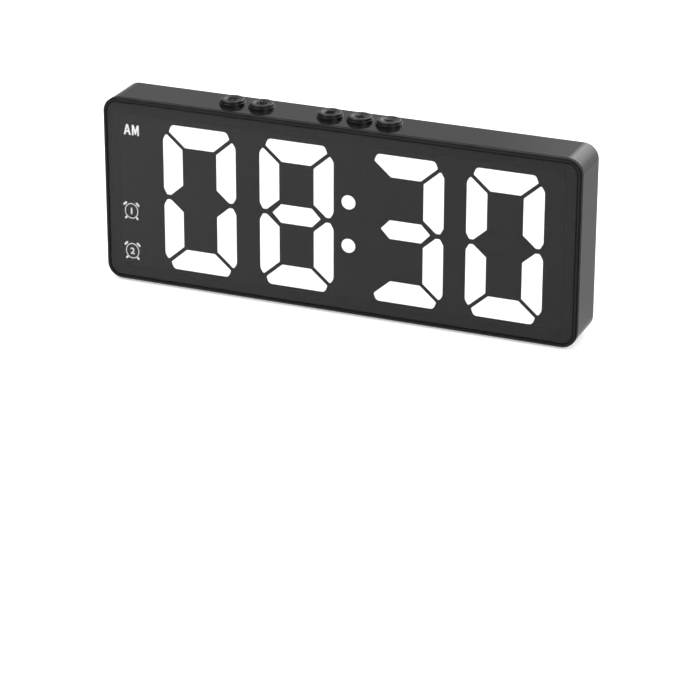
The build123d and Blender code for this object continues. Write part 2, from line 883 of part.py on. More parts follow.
# Three cells side by side in the bay, the middle one turned round
for row, name in enumerate(["cell_lower", "cell_middle", "cell_upper"]):
    cell_z, facing = cell_row(row)
    contact_x = bay_x + facing * (bay_length / 2 - contact_thickness)
    with BuildPart() as cell:
        with BuildSketch(Plane.YZ.offset(contact_x)):
            with Locations((cell_y, cell_z)):
                Circle(cell_nub_diameter / 2)
        extrude(amount=-facing * cell_nub_length)
        with BuildSketch(Plane.YZ.offset(contact_x - facing * cell_nub_length)):
            with Locations((cell_y, cell_z)):
                Circle(cell_diameter / 2)
        extrude(amount=-facing * (cell_length - cell_nub_length))
        rims = cell.edges().filter_by(GeomType.CIRCLE).filter_by(lambda edge: edge.radius > cell_nub_diameter)
        fillet(rims, cell_edge)
    cell.part.label = name
    export_step(cell.part, f"parts/{name}.step")


# Contact plates at the cells' raised ends
with BuildPart() as contact_plates:
    for row in range(3):
        cell_z, facing = cell_row(row)
        with BuildSketch(Plane.YZ.offset(bay_x + facing * bay_length / 2)):
            with Locations((cell_y, cell_z)):
                RectangleRounded(contact_size, contact_size, contact_round)
        extrude(amount=-facing * contact_thickness)
contact_plates.part.label = "contact_plates"
export_step(contact_plates.part, "parts/contact_plates.step")


# Leaf springs at the cells' flat ends: a bowed strip, hollow inside
with BuildPart() as leaf_springs:
    for row in range(3):
        cell_z, facing = cell_row(row)
        wall_x = bay_x - facing * bay_length / 2
        tip_x = wall_x + facing * (leaf_reach + contact_thickness)
        with BuildSketch(level(cell_z - leaf_width / 2)):
            with BuildLine():
                FilletPolyline(
                    (wall_x, cell_y - contact_size / 2),
                    (tip_x, cell_y - leaf_face / 2),
                    (tip_x, cell_y + leaf_face / 2),
                    (wall_x, cell_y + contact_size / 2),
                    radius=contact_round,
                    close=True,
                )
            make_face()
            with BuildLine():
                FilletPolyline(
                    (wall_x + facing * contact_thickness, cell_y - contact_size / 2 + 2 * contact_thickness),
                    (tip_x - facing * contact_thickness, cell_y - leaf_face / 2 + contact_thickness / 2),
                    (tip_x - facing * contact_thickness, cell_y + leaf_face / 2 - contact_thickness / 2),
                    (wall_x + facing * contact_thickness, cell_y + contact_size / 2 - 2 * contact_thickness),
                    radius=contact_round - contact_thickness,
                    close=True,
                )
            make_face(mode=Mode.SUBTRACT)
        extrude(amount=leaf_width)
leaf_springs.part.label = "leaf_springs"
export_step(leaf_springs.part, "parts/leaf_springs.step")


# Buttons: a dished cap in each collar with a flange under the top wall, over a switch and its plunger
for number, button_x in enumerate(button_places, start=1):
    with BuildPart() as cap:
        with BuildSketch(level(cap_bottom_z)):
            with Locations((button_x, button_y)):
                Circle(cap_stem_diameter / 2)
        extrude(amount=cap_stem)
        with BuildSketch(level(cap_bottom_z + cap_stem)):
            with Locations((button_x, button_y)):
                Circle(cap_flange_diameter / 2)
        extrude(amount=cap_flange)
        with BuildSketch(level(cap_bottom_z + cap_stem)):
            with Locations((button_x, button_y)):
                Circle(cap_diameter / 2)
        extrude(amount=cap_top_z - cap_bottom_z - cap_stem)
        fillet(cap.faces().sort_by(Axis.Z)[-1].edges(), cap_round)
        with Locations((button_x, button_y, cap_top_z - dish_depth + dish_radius)):
            Sphere(dish_radius, mode=Mode.SUBTRACT)
    cap.part.label = f"button_cap_{number}"
    export_step(cap.part, f"parts/button_cap_{number}.step")

    with BuildPart() as plunger:
        with BuildSketch(level(switch_top_z - plunger_root)):
            with Locations((button_x, button_y)):
                Circle(plunger_diameter / 2)
        extrude(amount=plunger_root + plunger_rise)
    plunger.part.label = f"switch_plunger_{number}"
    export_step(plunger.part, f"parts/switch_plunger_{number}.step")

    with BuildPart() as switch:
        with BuildSketch(level(switch_bottom_z)):
            with Locations((button_x, button_y)):
                RectangleRounded(switch_side, switch_side, switch_corner)
        extrude(amount=switch_height)
        with BuildSketch(level(switch_top_z)):
            with Locations((button_x, button_y)):
                Circle(plunger_diameter / 2 + fit_gap)
        extrude(amount=-(plunger_root + button_travel + fit_gap), mode=Mode.SUBTRACT)
        with BuildSketch(level(switch_bottom_z)):
            with Locations((button_x, button_y)):
                with GridLocations(switch_side + leg_reach, leg_spread, 2, 2):
                    Rectangle(leg_reach, leg_width)
        extrude(amount=leg_thickness)
    switch.part.label = f"switch_body_{number}"
    export_step(switch.part, f"parts/switch_body_{number}.step")


# Key board under the switches
with BuildPart() as key_board:
    with BuildSketch(level(key_board_bottom_z)):
        with Locations((key_board_x, key_board_y)):
            RectangleRounded(key_board_width, key_board_depth, corner_round)
        with Locations(*key_boss_places):
            Circle(small_screw_diameter / 2 + fit_gap, mode=Mode.SUBTRACT)
    extrude(amount=board_thickness)
key_board.part.label = "key_board"
export_step(key_board.part, "parts/key_board.step")


# Main board
with BuildPart() as main_board:
    with BuildSketch(upright(main_board_rear_y)):
        with Locations((main_board_x, main_board_z)):
            RectangleRounded(main_board_width, main_board_height, corner_round)
        with Locations(*main_post_places):
            Circle(small_screw_diameter / 2 + fit_gap, mode=Mode.SUBTRACT)
    extrude(amount=main_board_thickness)
main_board.part.label = "main_board"
export_step(main_board.part, "parts/main_board.step")


# Supply inlet: a rounded metal shell, open to the rear, with a tongue inside
with BuildPart() as supply_inlet:
    with BuildSketch(upright(main_board_rear_y)):
        with Locations((main_board_x, socket_z)):
            SlotOverall(socket_width, socket_height)
    extrude(amount=-socket_length)
    with BuildSketch(upright(main_board_rear_y + socket_floor)):
        with Locations((main_board_x, socket_z)):
            SlotOverall(socket_width - 2 * socket_wall, socket_height - 2 * socket_wall)
    extrude(amount=-(socket_length - socket_floor + overrun), mode=Mode.SUBTRACT)
    with BuildSketch(upright(main_board_rear_y + socket_floor)):
        with Locations((main_board_x, socket_z)):
            Rectangle(socket_tongue_width, socket_tongue_thickness)
    extrude(amount=-(socket_length - socket_floor - socket_recess))
supply_inlet.part.label = "supply_inlet"
export_step(supply_inlet.part, "parts/supply_inlet.step")


# Buzzer on the rear of the main board, behind the sound holes
buzzer_height = inner_rear_y - main_board_rear_y - buzzer_wall_gap
with BuildPart() as buzzer:
    with BuildSketch(upright(main_board_rear_y)):
        with Locations((main_board_x, buzzer_z)):
            Circle(buzzer_diameter / 2)
    extrude(amount=-buzzer_height)
    fillet(buzzer.faces().sort_by(Axis.Y)[-1].edges(), cell_edge)
    with BuildSketch(upright(main_board_rear_y + buzzer_height)):
        with Locations((main_board_x, buzzer_z)):
            Circle(buzzer_hole_diameter / 2)
    extrude(amount=buzzer_hole_depth, mode=Mode.SUBTRACT)
buzzer.part.label = "buzzer"
export_step(buzzer.part, "parts/buzzer.step")


# Clock chip on the front of the main board, with leads along both long sides
clock_chip_z = main_board_bottom_z + main_board_height * clock_chip_rise_share
with BuildPart() as clock_chip:
    with BuildSketch(upright(main_board_front_y)):
        with Locations((main_board_x, clock_chip_z)):
            Rectangle(clock_chip_length, clock_chip_width)
    extrude(amount=clock_chip_height)
    chamfer(clock_chip.faces().sort_by(Axis.Y)[0].edges(), clock_lead_thickness)
    with BuildSketch(upright(main_board_front_y)):
        with Locations((main_board_x, clock_chip_z)):
            with GridLocations(clock_lead_pitch, clock_chip_width + clock_lead_reach, clock_lead_count, 2):
                Rectangle(clock_lead_width, clock_lead_reach)
    extrude(amount=clock_lead_thickness)
clock_chip.part.label = "clock_chip"
export_step(clock_chip.part, "parts/clock_chip.step")


# Quartz crystal can
with BuildPart() as quartz_crystal:
    with BuildSketch(upright(main_board_front_y)):
        with Locations((main_board_x - crystal_side, main_board_bottom_z + crystal_rise)):
            SlotOverall(crystal_length, crystal_width)
    extrude(amount=crystal_height)
    fillet(quartz_crystal.faces().sort_by(Axis.Y)[0].edges(), cell_edge)
quartz_crystal.part.label = "quartz_crystal"
export_step(quartz_crystal.part, "parts/quartz_crystal.step")


# Capacitor: a can on a square base, with a groove rolled round it
with BuildPart() as capacitor:
    with BuildSketch(upright(main_board_rear_y)):
        with Locations((main_board_x + capacitor_side, main_board_bottom_z + capacitor_rise)):
            RectangleRounded(capacitor_base, capacitor_base, cell_edge)
    extrude(amount=-capacitor_base_height)
    with BuildSketch(upright(main_board_rear_y + capacitor_base_height)):
        with Locations((main_board_x + capacitor_side, main_board_bottom_z + capacitor_rise)):
            Circle(capacitor_diameter / 2 - capacitor_groove)
    extrude(amount=-2 * capacitor_groove)
    with BuildSketch(upright(main_board_rear_y + capacitor_base_height + 2 * capacitor_groove)):
        with Locations((main_board_x + capacitor_side, main_board_bottom_z + capacitor_rise)):
            Circle(capacitor_diameter / 2)
    extrude(amount=-(capacitor_height - capacitor_base_height - 2 * capacitor_groove))
    fillet(capacitor.faces().sort_by(Axis.Y)[-1].edges(), capacitor_groove)
capacitor.part.label = "capacitor"
export_step(capacitor.part, "parts/capacitor.step")


# Header between the main board and the display board, its two halves pushed together
header_z = main_board_bottom_z + main_board_height * header_rise_share
header_span = main_board_front_y - board_rear_y
with BuildPart() as board_header:
    with BuildSketch(upright(main_board_front_y)):
        with Locations((main_board_x, header_z)):
            Rectangle(header_length, header_width)
    extrude(amount=header_span)
    with BuildSketch(upright(main_board_front_y - header_span / 2 + header_split / 2)):
        with Locations((main_board_x, header_z)):
            Rectangle(header_length + overrun, header_width + overrun)
            Rectangle(
                header_length - 2 * header_split,
                header_width - 2 * header_split,
                mode=Mode.SUBTRACT,
            )
    extrude(amount=header_split, mode=Mode.SUBTRACT)
board_header.part.label = "board_header"
export_step(board_header.part, "parts/board_header.step")


def screw_group(seat, places, head_diameter, head_height, shank_diameter, length, slot, slot_depth):
    """Add screws whose heads lie on the seat plane, on its facing side, and whose shanks run behind it."""
    with BuildSketch(seat) as heads:
        with Locations(*places):
            Circle(head_diameter / 2)
    extrude(heads.sketch, amount=head_height)
    with BuildSketch(seat) as shanks:
        with Locations(*places):
            Circle(shank_diameter / 2)
    extrude(shanks.sketch, amount=-length)
    with BuildSketch(seat.offset(head_height)) as slots:
        for turn in (0, 90):
            with Locations(*places):
                Rectangle(head_diameter - slot, slot, rotation=turn)
    extrude(slots.sketch, amount=-slot_depth, mode=Mode.SUBTRACT)


# Corner screws, sunk deep in the rear of the housing
rear_view = Plane(origin=(0, seat_y, 0), x_dir=(-1, 0, 0), z_dir=(0, 1, 0))
with BuildPart() as housing_screws:
    screw_group(
        rear_view,
        [(-x, z) for x, z in boss_places],
        screw_head_diameter,
        screw_head_height,
        screw_diameter,
        tube_end + screw_grip,
        screw_slot,
        screw_slot_depth,
    )
housing_screws.part.label = "housing_screws"
export_step(housing_screws.part, "parts/housing_screws.step")


# Screws of the main board, from the front into its posts
with BuildPart() as main_board_screws:
    screw_group(
        upright(main_board_front_y),
        main_post_places,
        small_head_diameter,
        small_head_height,
        small_screw_diameter,
        main_board_thickness + small_screw_grip,
        small_screw_slot,
        small_slot_depth,
    )
main_board_screws.part.label = "main_board_screws"
export_step(main_board_screws.part, "parts/main_board_screws.step")


# Screws of the key board, from below into its bosses
under_view = Plane(origin=(0, 0, key_board_bottom_z), x_dir=(1, 0, 0), z_dir=(0, 0, -1))
with BuildPart() as key_board_screws:
    screw_group(
        under_view,
        [(x, -y) for x, y in key_boss_places],
        small_head_diameter,
        small_head_height,
        small_screw_diameter,
        board_thickness + small_screw_grip,
        small_screw_slot,
        small_slot_depth,
    )
key_board_screws.part.label = "key_board_screws"
export_step(key_board_screws.part, "parts/key_board_screws.step")


# Foot pads
for name, place in pad_places.items():
    with BuildPart() as pad:
        with BuildSketch(level(0)):
            with Locations(place):
                SlotOverall(pad_length, pad_width)
        extrude(amount=foot_height + pad_sink)
    pad.part.label = name
    export_step(pad.part, f"parts/{name}.step")
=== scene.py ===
import functools
import math

import bpy
from mathutils import Euler, Matrix, Vector


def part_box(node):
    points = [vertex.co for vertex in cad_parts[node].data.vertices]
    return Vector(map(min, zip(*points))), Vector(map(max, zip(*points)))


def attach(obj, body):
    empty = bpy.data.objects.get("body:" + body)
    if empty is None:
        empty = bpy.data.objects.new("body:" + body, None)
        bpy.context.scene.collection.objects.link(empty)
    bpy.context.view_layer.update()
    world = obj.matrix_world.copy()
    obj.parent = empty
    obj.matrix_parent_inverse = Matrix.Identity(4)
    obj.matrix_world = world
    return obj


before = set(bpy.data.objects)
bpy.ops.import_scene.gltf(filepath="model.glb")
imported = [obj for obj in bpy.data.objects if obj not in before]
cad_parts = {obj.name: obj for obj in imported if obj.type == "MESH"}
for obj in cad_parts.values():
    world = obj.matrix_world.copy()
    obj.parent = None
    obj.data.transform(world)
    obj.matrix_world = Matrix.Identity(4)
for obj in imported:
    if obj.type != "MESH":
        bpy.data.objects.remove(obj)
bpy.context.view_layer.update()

bl_info = {
    "name": "Lit Numeral Desk Clock",
    "version": (1, 0, 0),
    "blender": (4, 5, 0),
    "location": "3D View > Sidebar > Desk Clock",
    "description": "Surface finishes, lit signs, button marks and a plain studio for a slim desk clock",
    "category": "Object",
}

MM = 0.001
CORNER = 5 * MM  # radius of the clock's corners, seen from the front
ON_PLANE = 0.06 * MM  # how near to a plane a place counts as lying on it
WHITE = (1.0, 1.0, 1.0)
BLACK_PLASTIC = (0.02, 0.02, 0.021)
NUMERALS = ["segments_hour_tens", "segments_hour_units", "segments_minute_tens", "segments_minute_units"]
CELLS = ["cell_lower", "cell_middle", "cell_upper"]
BUTTONS = range(1, 6)


# Sizes, colours and light that a user would change

class ClockColours(bpy.types.PropertyGroup):
    """Colours of the clock's plastics, lens and lit parts"""

    housing: bpy.props.FloatVectorProperty(
        name="Housing", description="Glossy plastic of the housing, door and buttons",
        subtype="COLOR", min=0, max=1, default=(0.007, 0.007, 0.0076))
    rim: bpy.props.FloatVectorProperty(
        name="Rim", description="Matte plastic of the rim round the lens",
        subtype="COLOR", min=0, max=1, default=(0.0035, 0.0035, 0.0038))
    lens: bpy.props.FloatVectorProperty(
        name="Lens", description="Smoked acrylic of the lens",
        subtype="COLOR", min=0, max=1, default=(0.006, 0.006, 0.0065))
    lens_density: bpy.props.FloatProperty(
        name="Lens density", description="Share of the light that each face of the smoked lens holds back",
        subtype="FACTOR", min=0, max=1, default=0.6)
    numerals: bpy.props.FloatVectorProperty(
        name="Numerals", description="Light of the lit bars and the two dots",
        subtype="COLOR", min=0, max=1, default=WHITE)
    numerals_glow: bpy.props.FloatProperty(
        name="Numerals' glow", description="Strength of the lit bars behind the lens",
        min=0, default=7.4)
    signs_glow: bpy.props.FloatProperty(
        name="Signs' glow", description="Strength of the morning sign behind the lens",
        min=0, default=5.2)
    alarms_glow: bpy.props.FloatProperty(
        name="Alarm signs' glow", description="Strength of the numbered alarm signs behind the lens",
        min=0, default=4.6)
    marks: bpy.props.FloatVectorProperty(
        name="Marks", description="Ink of the marks on the buttons and the door",
        subtype="COLOR", min=0, max=1, default=(0.003, 0.003, 0.003))


class ClockSizes(bpy.types.PropertyGroup):
    """Sizes and places of the signs and marks, on the CAD frame"""

    sign_x: bpy.props.FloatProperty(
        name="Sign column", description="Middle of the alarm signs, from the clock's middle",
        unit="LENGTH", default=-71.3 * MM)
    morning_place: bpy.props.FloatVectorProperty(
        name="Morning sign", description="Middle of the two letters of the morning sign, across and up",
        size=2, unit="LENGTH", default=(-70.65 * MM, 51.85 * MM))
    morning_size: bpy.props.FloatVectorProperty(
        name="Morning sign's size", description="Width and height of the morning sign's letters",
        size=2, unit="LENGTH", default=(5.3 * MM, 3.5 * MM))
    alarm_heights: bpy.props.FloatVectorProperty(
        name="Alarm signs", description="Heights of the middles of alarm signs 1 and 2",
        size=2, unit="LENGTH", default=(24.25 * MM, 10.48 * MM))
    alarm_ring: bpy.props.FloatProperty(
        name="Alarm ring", description="Outer diameter of the alarm signs' ring",
        unit="LENGTH", default=4.7 * MM)
    alarm_line: bpy.props.FloatProperty(
        name="Alarm line", description="Width of the line of the alarm signs' ring",
        unit="LENGTH", default=0.25 * MM)
    print_thickness: bpy.props.FloatProperty(
        name="Print", description="Thickness of a printed sign or mark",
        unit="LENGTH", default=0.03 * MM)
    button_mark: bpy.props.FloatProperty(
        name="Button mark", description="Height of a mark on a button",
        unit="LENGTH", default=3.4 * MM)
    button_dish: bpy.props.FloatProperty(
        name="Button dish", description="How far the bottom of a button's dish lies under its top",
        unit="LENGTH", default=0.45 * MM)
    button_relief: bpy.props.FloatProperty(
        name="Button relief", description="Thickness of a button's mark, partly sunk in the dish",
        unit="LENGTH", default=0.22 * MM)


class ClockStudio(bpy.types.PropertyGroup):
    """The camera, the lights and the floor"""

    camera_place: bpy.props.FloatVectorProperty(
        name="Camera", description="Where the camera stands",
        subtype="TRANSLATION", default=(0.3385, -0.82952, 0.36996))
    camera_yaw: bpy.props.FloatProperty(
        name="Yaw", description="How far the camera stands to the right of the clock's front",
        subtype="ANGLE", default=math.radians(22.109))
    camera_pitch: bpy.props.FloatProperty(
        name="Pitch", description="How far the camera looks down",
        subtype="ANGLE", default=math.radians(23.299))
    camera_roll: bpy.props.FloatProperty(
        name="Roll", description="How far the camera is turned about its line of sight",
        subtype="ANGLE", default=math.radians(0.167))
    camera_lens: bpy.props.FloatProperty(
        name="Lens", description="Focal length on a 36 mm wide sensor, in millimetres",
        default=156.21)
    floor: bpy.props.FloatVectorProperty(
        name="Floor", description="Pale floor under the clock",
        subtype="COLOR", min=0, max=1, default=(0.86, 0.86, 0.86))
    floor_in_gloss: bpy.props.FloatProperty(
        name="Floor in gloss",
        description="How bright the floor in front looks where a glossy face mirrors it",
        min=0, default=1.05)
    sky: bpy.props.FloatProperty(
        name="Surround", description="Strength of the even light from all round",
        min=0, default=0.6)
    sky_in_gloss: bpy.props.FloatProperty(
        name="Surround in gloss", description="How bright the surround looks where a glossy face mirrors it",
        min=0, default=0.5)
    glow: bpy.props.FloatProperty(
        name="Rear glow",
        description="How much brighter the surround is at its soft bright place behind the clock",
        min=0, default=2.4)
    key_power: bpy.props.FloatProperty(
        name="Key light", description="Power of the soft box at the front left",
        unit="POWER", min=0, default=9.0)
    fill_power: bpy.props.FloatProperty(
        name="Fill light", description="Power of the soft box at the front right",
        unit="POWER", min=0, default=4.0)


# Building the finishes

class Shading:
    """A tree of shader nodes, and the coordinates that its textures follow."""

    def __init__(self, tree, coordinates):
        self.tree = tree
        self.place = self.add("ShaderNodeTexCoord").outputs[coordinates]

    def add(self, kind, **settings):
        node = self.tree.nodes.new(kind)
        for setting, value in settings.items():
            setattr(node, setting, value)
        return node

    def feed(self, socket, value):
        """Link another node's output to the socket, or set a constant on it."""
        if isinstance(value, bpy.types.NodeSocket):
            self.tree.links.new(value, socket)
        else:
            socket.default_value = value

    def calculate(self, operation, first, second=0.0):
        node = self.add("ShaderNodeMath", operation=operation)
        self.feed(node.inputs[0], first)
        self.feed(node.inputs[1], second)
        return node.outputs[0]

    def gather(self, operation, values):
        """Carry one operation through all the values."""
        return functools.reduce(functools.partial(self.calculate, operation), values)

    def from_middle(self, name, low, high):
        """How far a place lies along one axis from the middle between low and high, never negative."""
        offset = self.calculate("SUBTRACT", self.axis(name), (low + high) / 2)
        return self.calculate("ABSOLUTE", offset)

    def axis(self, name):
        """The place along one axis."""
        split = self.add("ShaderNodeSeparateXYZ")
        self.feed(split.inputs[0], self.place)
        return split.outputs[name]

    def spread(self, value, low, high, start=0.0, end=1.0):
        """Carry a value's range from start to end onto the range from low to high."""
        node = self.add("ShaderNodeMapRange")
        for socket, number in zip(node.inputs, (value, start, end, low, high)):
            self.feed(socket, number)
        return node.outputs[0]

    def blend(self, share, first, second):
        """The first colour where share is 0, and the second where it is 1."""
        node = self.add("ShaderNodeMix", data_type="RGBA")
        self.feed(node.inputs[0], share)
        for socket, colour in zip((node.inputs[6], node.inputs[7]), (first, second)):
            self.feed(socket, colour if isinstance(colour, bpy.types.NodeSocket) else (*colour, 1.0))
        return node.outputs[2]

    def within(self, value, centre, half_width, softness=0.02 * MM):
        """1 where value lies within half_width of centre, and 0 further away."""
        away = self.calculate("ABSOLUTE", self.calculate("SUBTRACT", value, centre))
        return self.spread(away, 1.0, 0.0, start=half_width - softness, end=half_width + softness)


class Finish(Shading):
    """One surface finish: a Principled shader and the textures that vary it over the piece."""

    def __init__(self, name, colour, roughness, settings=()):
        self.material = bpy.data.materials.new(name)
        self.material.use_nodes = True
        super().__init__(self.material.node_tree, "Object")
        self.shader = self.tree.nodes["Principled BSDF"]
        self.surface("Base Color", (*colour, 1.0))
        self.surface("Roughness", roughness)
        for socket, value in dict(settings).items():
            self.surface(socket, value)

    def surface(self, socket, value):
        """Feed one of the shader's own sockets."""
        self.feed(self.shader.inputs[socket], value)

    def fed(self, socket):
        """The output that is linked to one of the shader's sockets."""
        return self.shader.inputs[socket].links[0].from_socket

    def grains(self, size, detail=3.0, stretch=(1.0, 1.0, 1.0), seed=0.0):
        """Cloudy noise from 0 to 1 with features about as large as size; stretch makes them longer."""
        scaled = self.add("ShaderNodeMapping")
        self.feed(scaled.inputs["Vector"], self.place)
        self.feed(scaled.inputs["Location"], (seed, seed * 1.7, seed * 2.3))
        self.feed(scaled.inputs["Scale"], tuple(1 / (size * length) for length in stretch))
        node = self.add("ShaderNodeTexNoise")
        self.feed(node.inputs["Vector"], scaled.outputs[0])
        self.feed(node.inputs["Scale"], 1.0)
        self.feed(node.inputs["Detail"], detail)
        return self.spread(node.outputs["Fac"], 0.0, 1.0, start=0.3, end=0.7)

    def tint(self, share, first, second):
        """Vary the base colour from the first colour to the second."""
        self.surface("Base Color", self.blend(share, first, second))

    def paint(self, share, colour):
        """Lay a colour over the base colour where share is 1."""
        self.tint(share, self.fed("Base Color"), colour)

    def bare_metal(self, share, colour):
        """Bare metal where share is 1, and no metal elsewhere."""
        self.paint(share, colour)
        self.surface("Metallic", share)

    def cover_metal(self, share, colour):
        """A plain cover over metal where share is 1."""
        self.paint(share, colour)
        self.surface("Metallic", self.calculate("SUBTRACT", 1.0, share))

    def relief(self, height, depth, strength=1.0):
        """Raise and sink the surface by the height texture, over what relief it already has."""
        node = self.add("ShaderNodeBump")
        self.feed(node.inputs["Strength"], strength)
        self.feed(node.inputs["Distance"], depth)
        self.feed(node.inputs["Height"], height)
        if self.shader.inputs["Normal"].is_linked:
            self.feed(node.inputs["Normal"], self.fed("Normal"))
        self.surface("Normal", node.outputs[0])


def shade(colour, factor):
    """The colour made lighter or darker by the factor, within 0 to 1."""
    return tuple(min(1.0, part * factor) for part in colour)


def moulded_plastic(name, colour, roughness, grain=0.35 * MM, depth=0.006 * MM, settings=()):
    """Injection-moulded plastic: faint mottle, slightly uneven gloss and a fine spark-eroded grain."""
    finish = Finish(name, colour, roughness, settings)
    mottle = finish.grains(14 * MM, 2.0)
    finish.tint(mottle, shade(colour, 0.88), shade(colour, 1.14))
    gloss = finish.grains(5 * MM, 4.0, seed=3.0)
    finish.surface("Roughness", finish.spread(gloss, 0.85 * roughness, 1.15 * roughness))
    finish.relief(finish.grains(grain, 4.0, seed=7.0), depth)
    return finish


def handled_edges(finish, low, high, reach):
    """1 on the outer edges of a box, falling to 0 at the given reach from them."""
    gaps = [finish.calculate("SUBTRACT", (end - start) / 2, finish.from_middle(name, start, end))
            for name, start, end in zip("XYZ", low, high)]
    total, least, most = (finish.gather(operation, gaps) for operation in ("ADD", "MINIMUM", "MAXIMUM"))
    second_least = finish.gather("SUBTRACT", (total, least, most))
    return finish.spread(second_least, 1.0, 0.0, start=0.0, end=reach)


def inside_outline(finish, low, high):
    """How far a place lies inside a box's round-cornered outline seen from the front, at most the corner."""
    squares = []
    for name, start, end in (("X", low.x, high.x), ("Z", low.z, high.z)):
        straight = (end - start) / 2 - CORNER
        beyond = finish.calculate("SUBTRACT", finish.from_middle(name, start, end), straight)
        squares.append(finish.calculate("POWER", finish.calculate("MAXIMUM", beyond, 0.0), 2.0))
    return finish.calculate("SUBTRACT", CORNER, finish.calculate("SQRT", finish.gather("ADD", squares)))


def housing_plastic(name, colour, low, high, outline):
    """Plastic of the shell and door: glossy outside, a little paler where hands rub it, and satin within."""
    worn_width, wear, polish, satin = 1.2 * MM, 0.05, 0.085, 0.3
    finish = moulded_plastic(name, colour, polish, depth=0.0006 * MM, settings={"IOR": 1.43})
    edges = handled_edges(finish, low, high, worn_width)
    rubbed = finish.calculate("MULTIPLY", edges, finish.grains(4 * MM, seed=11.0))
    finish.paint(rubbed, shade(colour, 1.7))
    smoothed = finish.calculate("MULTIPLY", rubbed, wear)
    outside = finish.calculate("SUBTRACT", finish.fed("Roughness"), smoothed)
    before_rear = finish.calculate("SUBTRACT", high.y, finish.axis("Y"))
    inwards = finish.calculate("MINIMUM", inside_outline(finish, *outline), before_rear)
    inside = finish.spread(inwards, 0.0, satin, start=0.5 * MM, end=0.7 * MM)
    finish.surface("Roughness", finish.calculate("ADD", outside, inside))
    return finish.material


def rim_plastic(name, colour, low, high, seat):
    """Matte plastic of the rim, with a painted sheen on the outer part of its flat front, a painted shadow
    line where the inner part of that front stays dark by the lens, and a painted grey reflection on the
    lens's seat at depth seat.
    """
    land_width, painted_reflection_grey = 0.9 * MM, (0.07, 0.07, 0.072)
    finish = moulded_plastic(name, colour, 0.5, settings={"Specular IOR Level": 0.12})
    flat = finish.within(finish.axis("Y"), low.y, ON_PLANE)
    inwards = inside_outline(finish, low, high)
    outer = finish.spread(inwards, 1.0, 0.0, start=land_width, end=land_width + 0.1 * MM)
    # Painted sheen: the outer part of the rim's flat front is painted paler, as where it catches the light;
    # the inner band by the lens stays dark, a painted shadow line at the lens's step.
    pale = finish.blend(finish.grains(5 * MM, seed=9.0), shade(colour, 4.0), shade(colour, 4.8))
    finish.paint(finish.calculate("MULTIPLY", flat, outer), pale)
    # Painted reflection: the lens's seat lies in the plane of the lens's back face and hides it, so the seat
    # is painted grey in place of that face's reflection.
    finish.paint(finish.within(finish.axis("Y"), seat, ON_PLANE), painted_reflection_grey)
    return finish.material


def smoked_acrylic(name, colour, density):
    """Polished smoked lens: faint wipe marks in its gloss and a barely uneven surface."""
    finish = Finish(name, colour, 0.1, {"Alpha": density, "IOR": 1.6})
    wipes = finish.grains(3 * MM, 5.0, stretch=(9.0, 1.0, 1.6), seed=2.0)
    finish.surface("Roughness", finish.spread(wipes, 0.08, 0.14))
    cast = finish.grains(30 * MM, 1.0, seed=5.0)
    finish.tint(cast, shade(colour, 0.85), shade(colour, 1.2))
    finish.relief(finish.grains(16 * MM, 1.0, seed=8.0), 0.004 * MM)
    return finish.material


def milky_diffuser(name, colour, glow, lit):
    """Milky plastic over the light chips, with light that is a touch uneven where it is lit."""
    finish = Finish(name, colour, 0.45, {"Emission Strength": glow})
    haze = finish.grains(2.5 * MM)
    finish.tint(haze, shade(colour, 0.94), colour)
    if lit:
        finish.surface("Emission Color", finish.blend(haze, shade(lit, 0.94), lit))
    finish.relief(finish.grains(0.3 * MM, seed=4.0), 0.004 * MM)
    return finish.material


def circuit_board(name, across, up):
    """Green solder mask over copper runs, with tinned rings; across and up are the board's two axes.

    A run lies between two bricks of the pattern, so copper is 1 in its joints and 0 elsewhere.
    """
    mask, masked_copper, tin = (0.012, 0.075, 0.03), (0.03, 0.14, 0.05), (0.62, 0.6, 0.55)
    run_width, run_length, run_pitch, ring_pitch = 0.13 * MM, 4.4 * MM, 1.25 * MM, 3.4 * MM
    finish = Finish(name, mask, 0.32)
    flat = finish.add("ShaderNodeCombineXYZ")
    finish.feed(flat.inputs[0], finish.axis(across))
    finish.feed(flat.inputs[1], finish.axis(up))
    runs = finish.add("ShaderNodeTexBrick", offset=0.37, squash=0.6, squash_frequency=3)
    for socket, value in (("Vector", flat.outputs[0]), ("Scale", 1.0), ("Mortar Size", run_width),
                          ("Mortar Smooth", 0.1), ("Brick Width", run_length), ("Row Height", run_pitch),
                          ("Color1", (0, 0, 0, 1)), ("Color2", (0, 0, 0, 1)), ("Mortar", (1, 1, 1, 1))):
        finish.feed(runs.inputs[socket], value)
    rings = finish.add("ShaderNodeTexVoronoi", distance="EUCLIDEAN")
    finish.feed(rings.inputs["Vector"], flat.outputs[0])
    finish.feed(rings.inputs["Scale"], 1 / ring_pitch)
    pads = finish.within(rings.outputs["Distance"], 0.13, 0.035, softness=0.01)
    copper = finish.calculate("MAXIMUM", runs.outputs["Color"], 0.0)
    finish.tint(copper, mask, masked_copper)
    finish.bare_metal(pads, tin)
    finish.relief(copper, 0.02 * MM, 0.6)
    return finish.material


def light_chip(name, front):
    """A pale package whose front is filled with yellow phosphor; front is how far forward it reaches."""
    package = (0.8, 0.78, 0.7)
    finish = Finish(name, package, 0.35)
    face = finish.within(finish.axis("Y"), front, 0.15 * MM)
    phosphor = finish.blend(finish.grains(0.15 * MM), (0.72, 0.55, 0.12), (0.85, 0.72, 0.25))
    finish.tint(face, package, phosphor)
    return finish.material


def lead_ends(finish, low, high, reach, colour):
    """Bare metal at the lower and upper end of a piece, as far as reach from each."""
    body = finish.within(finish.axis("Z"), (low.z + high.z) / 2, (high.z - low.z) / 2 - reach)
    finish.bare_metal(finish.calculate("SUBTRACT", 1.0, body), colour)


def chip_with_leads(name, low, high, lead_reach):
    """Black epoxy with bright leads along its two long sides."""
    finish = moulded_plastic(name, BLACK_PLASTIC, 0.55, grain=0.12 * MM)
    lead_ends(finish, low, high, lead_reach, (0.66, 0.66, 0.64))
    return finish.material


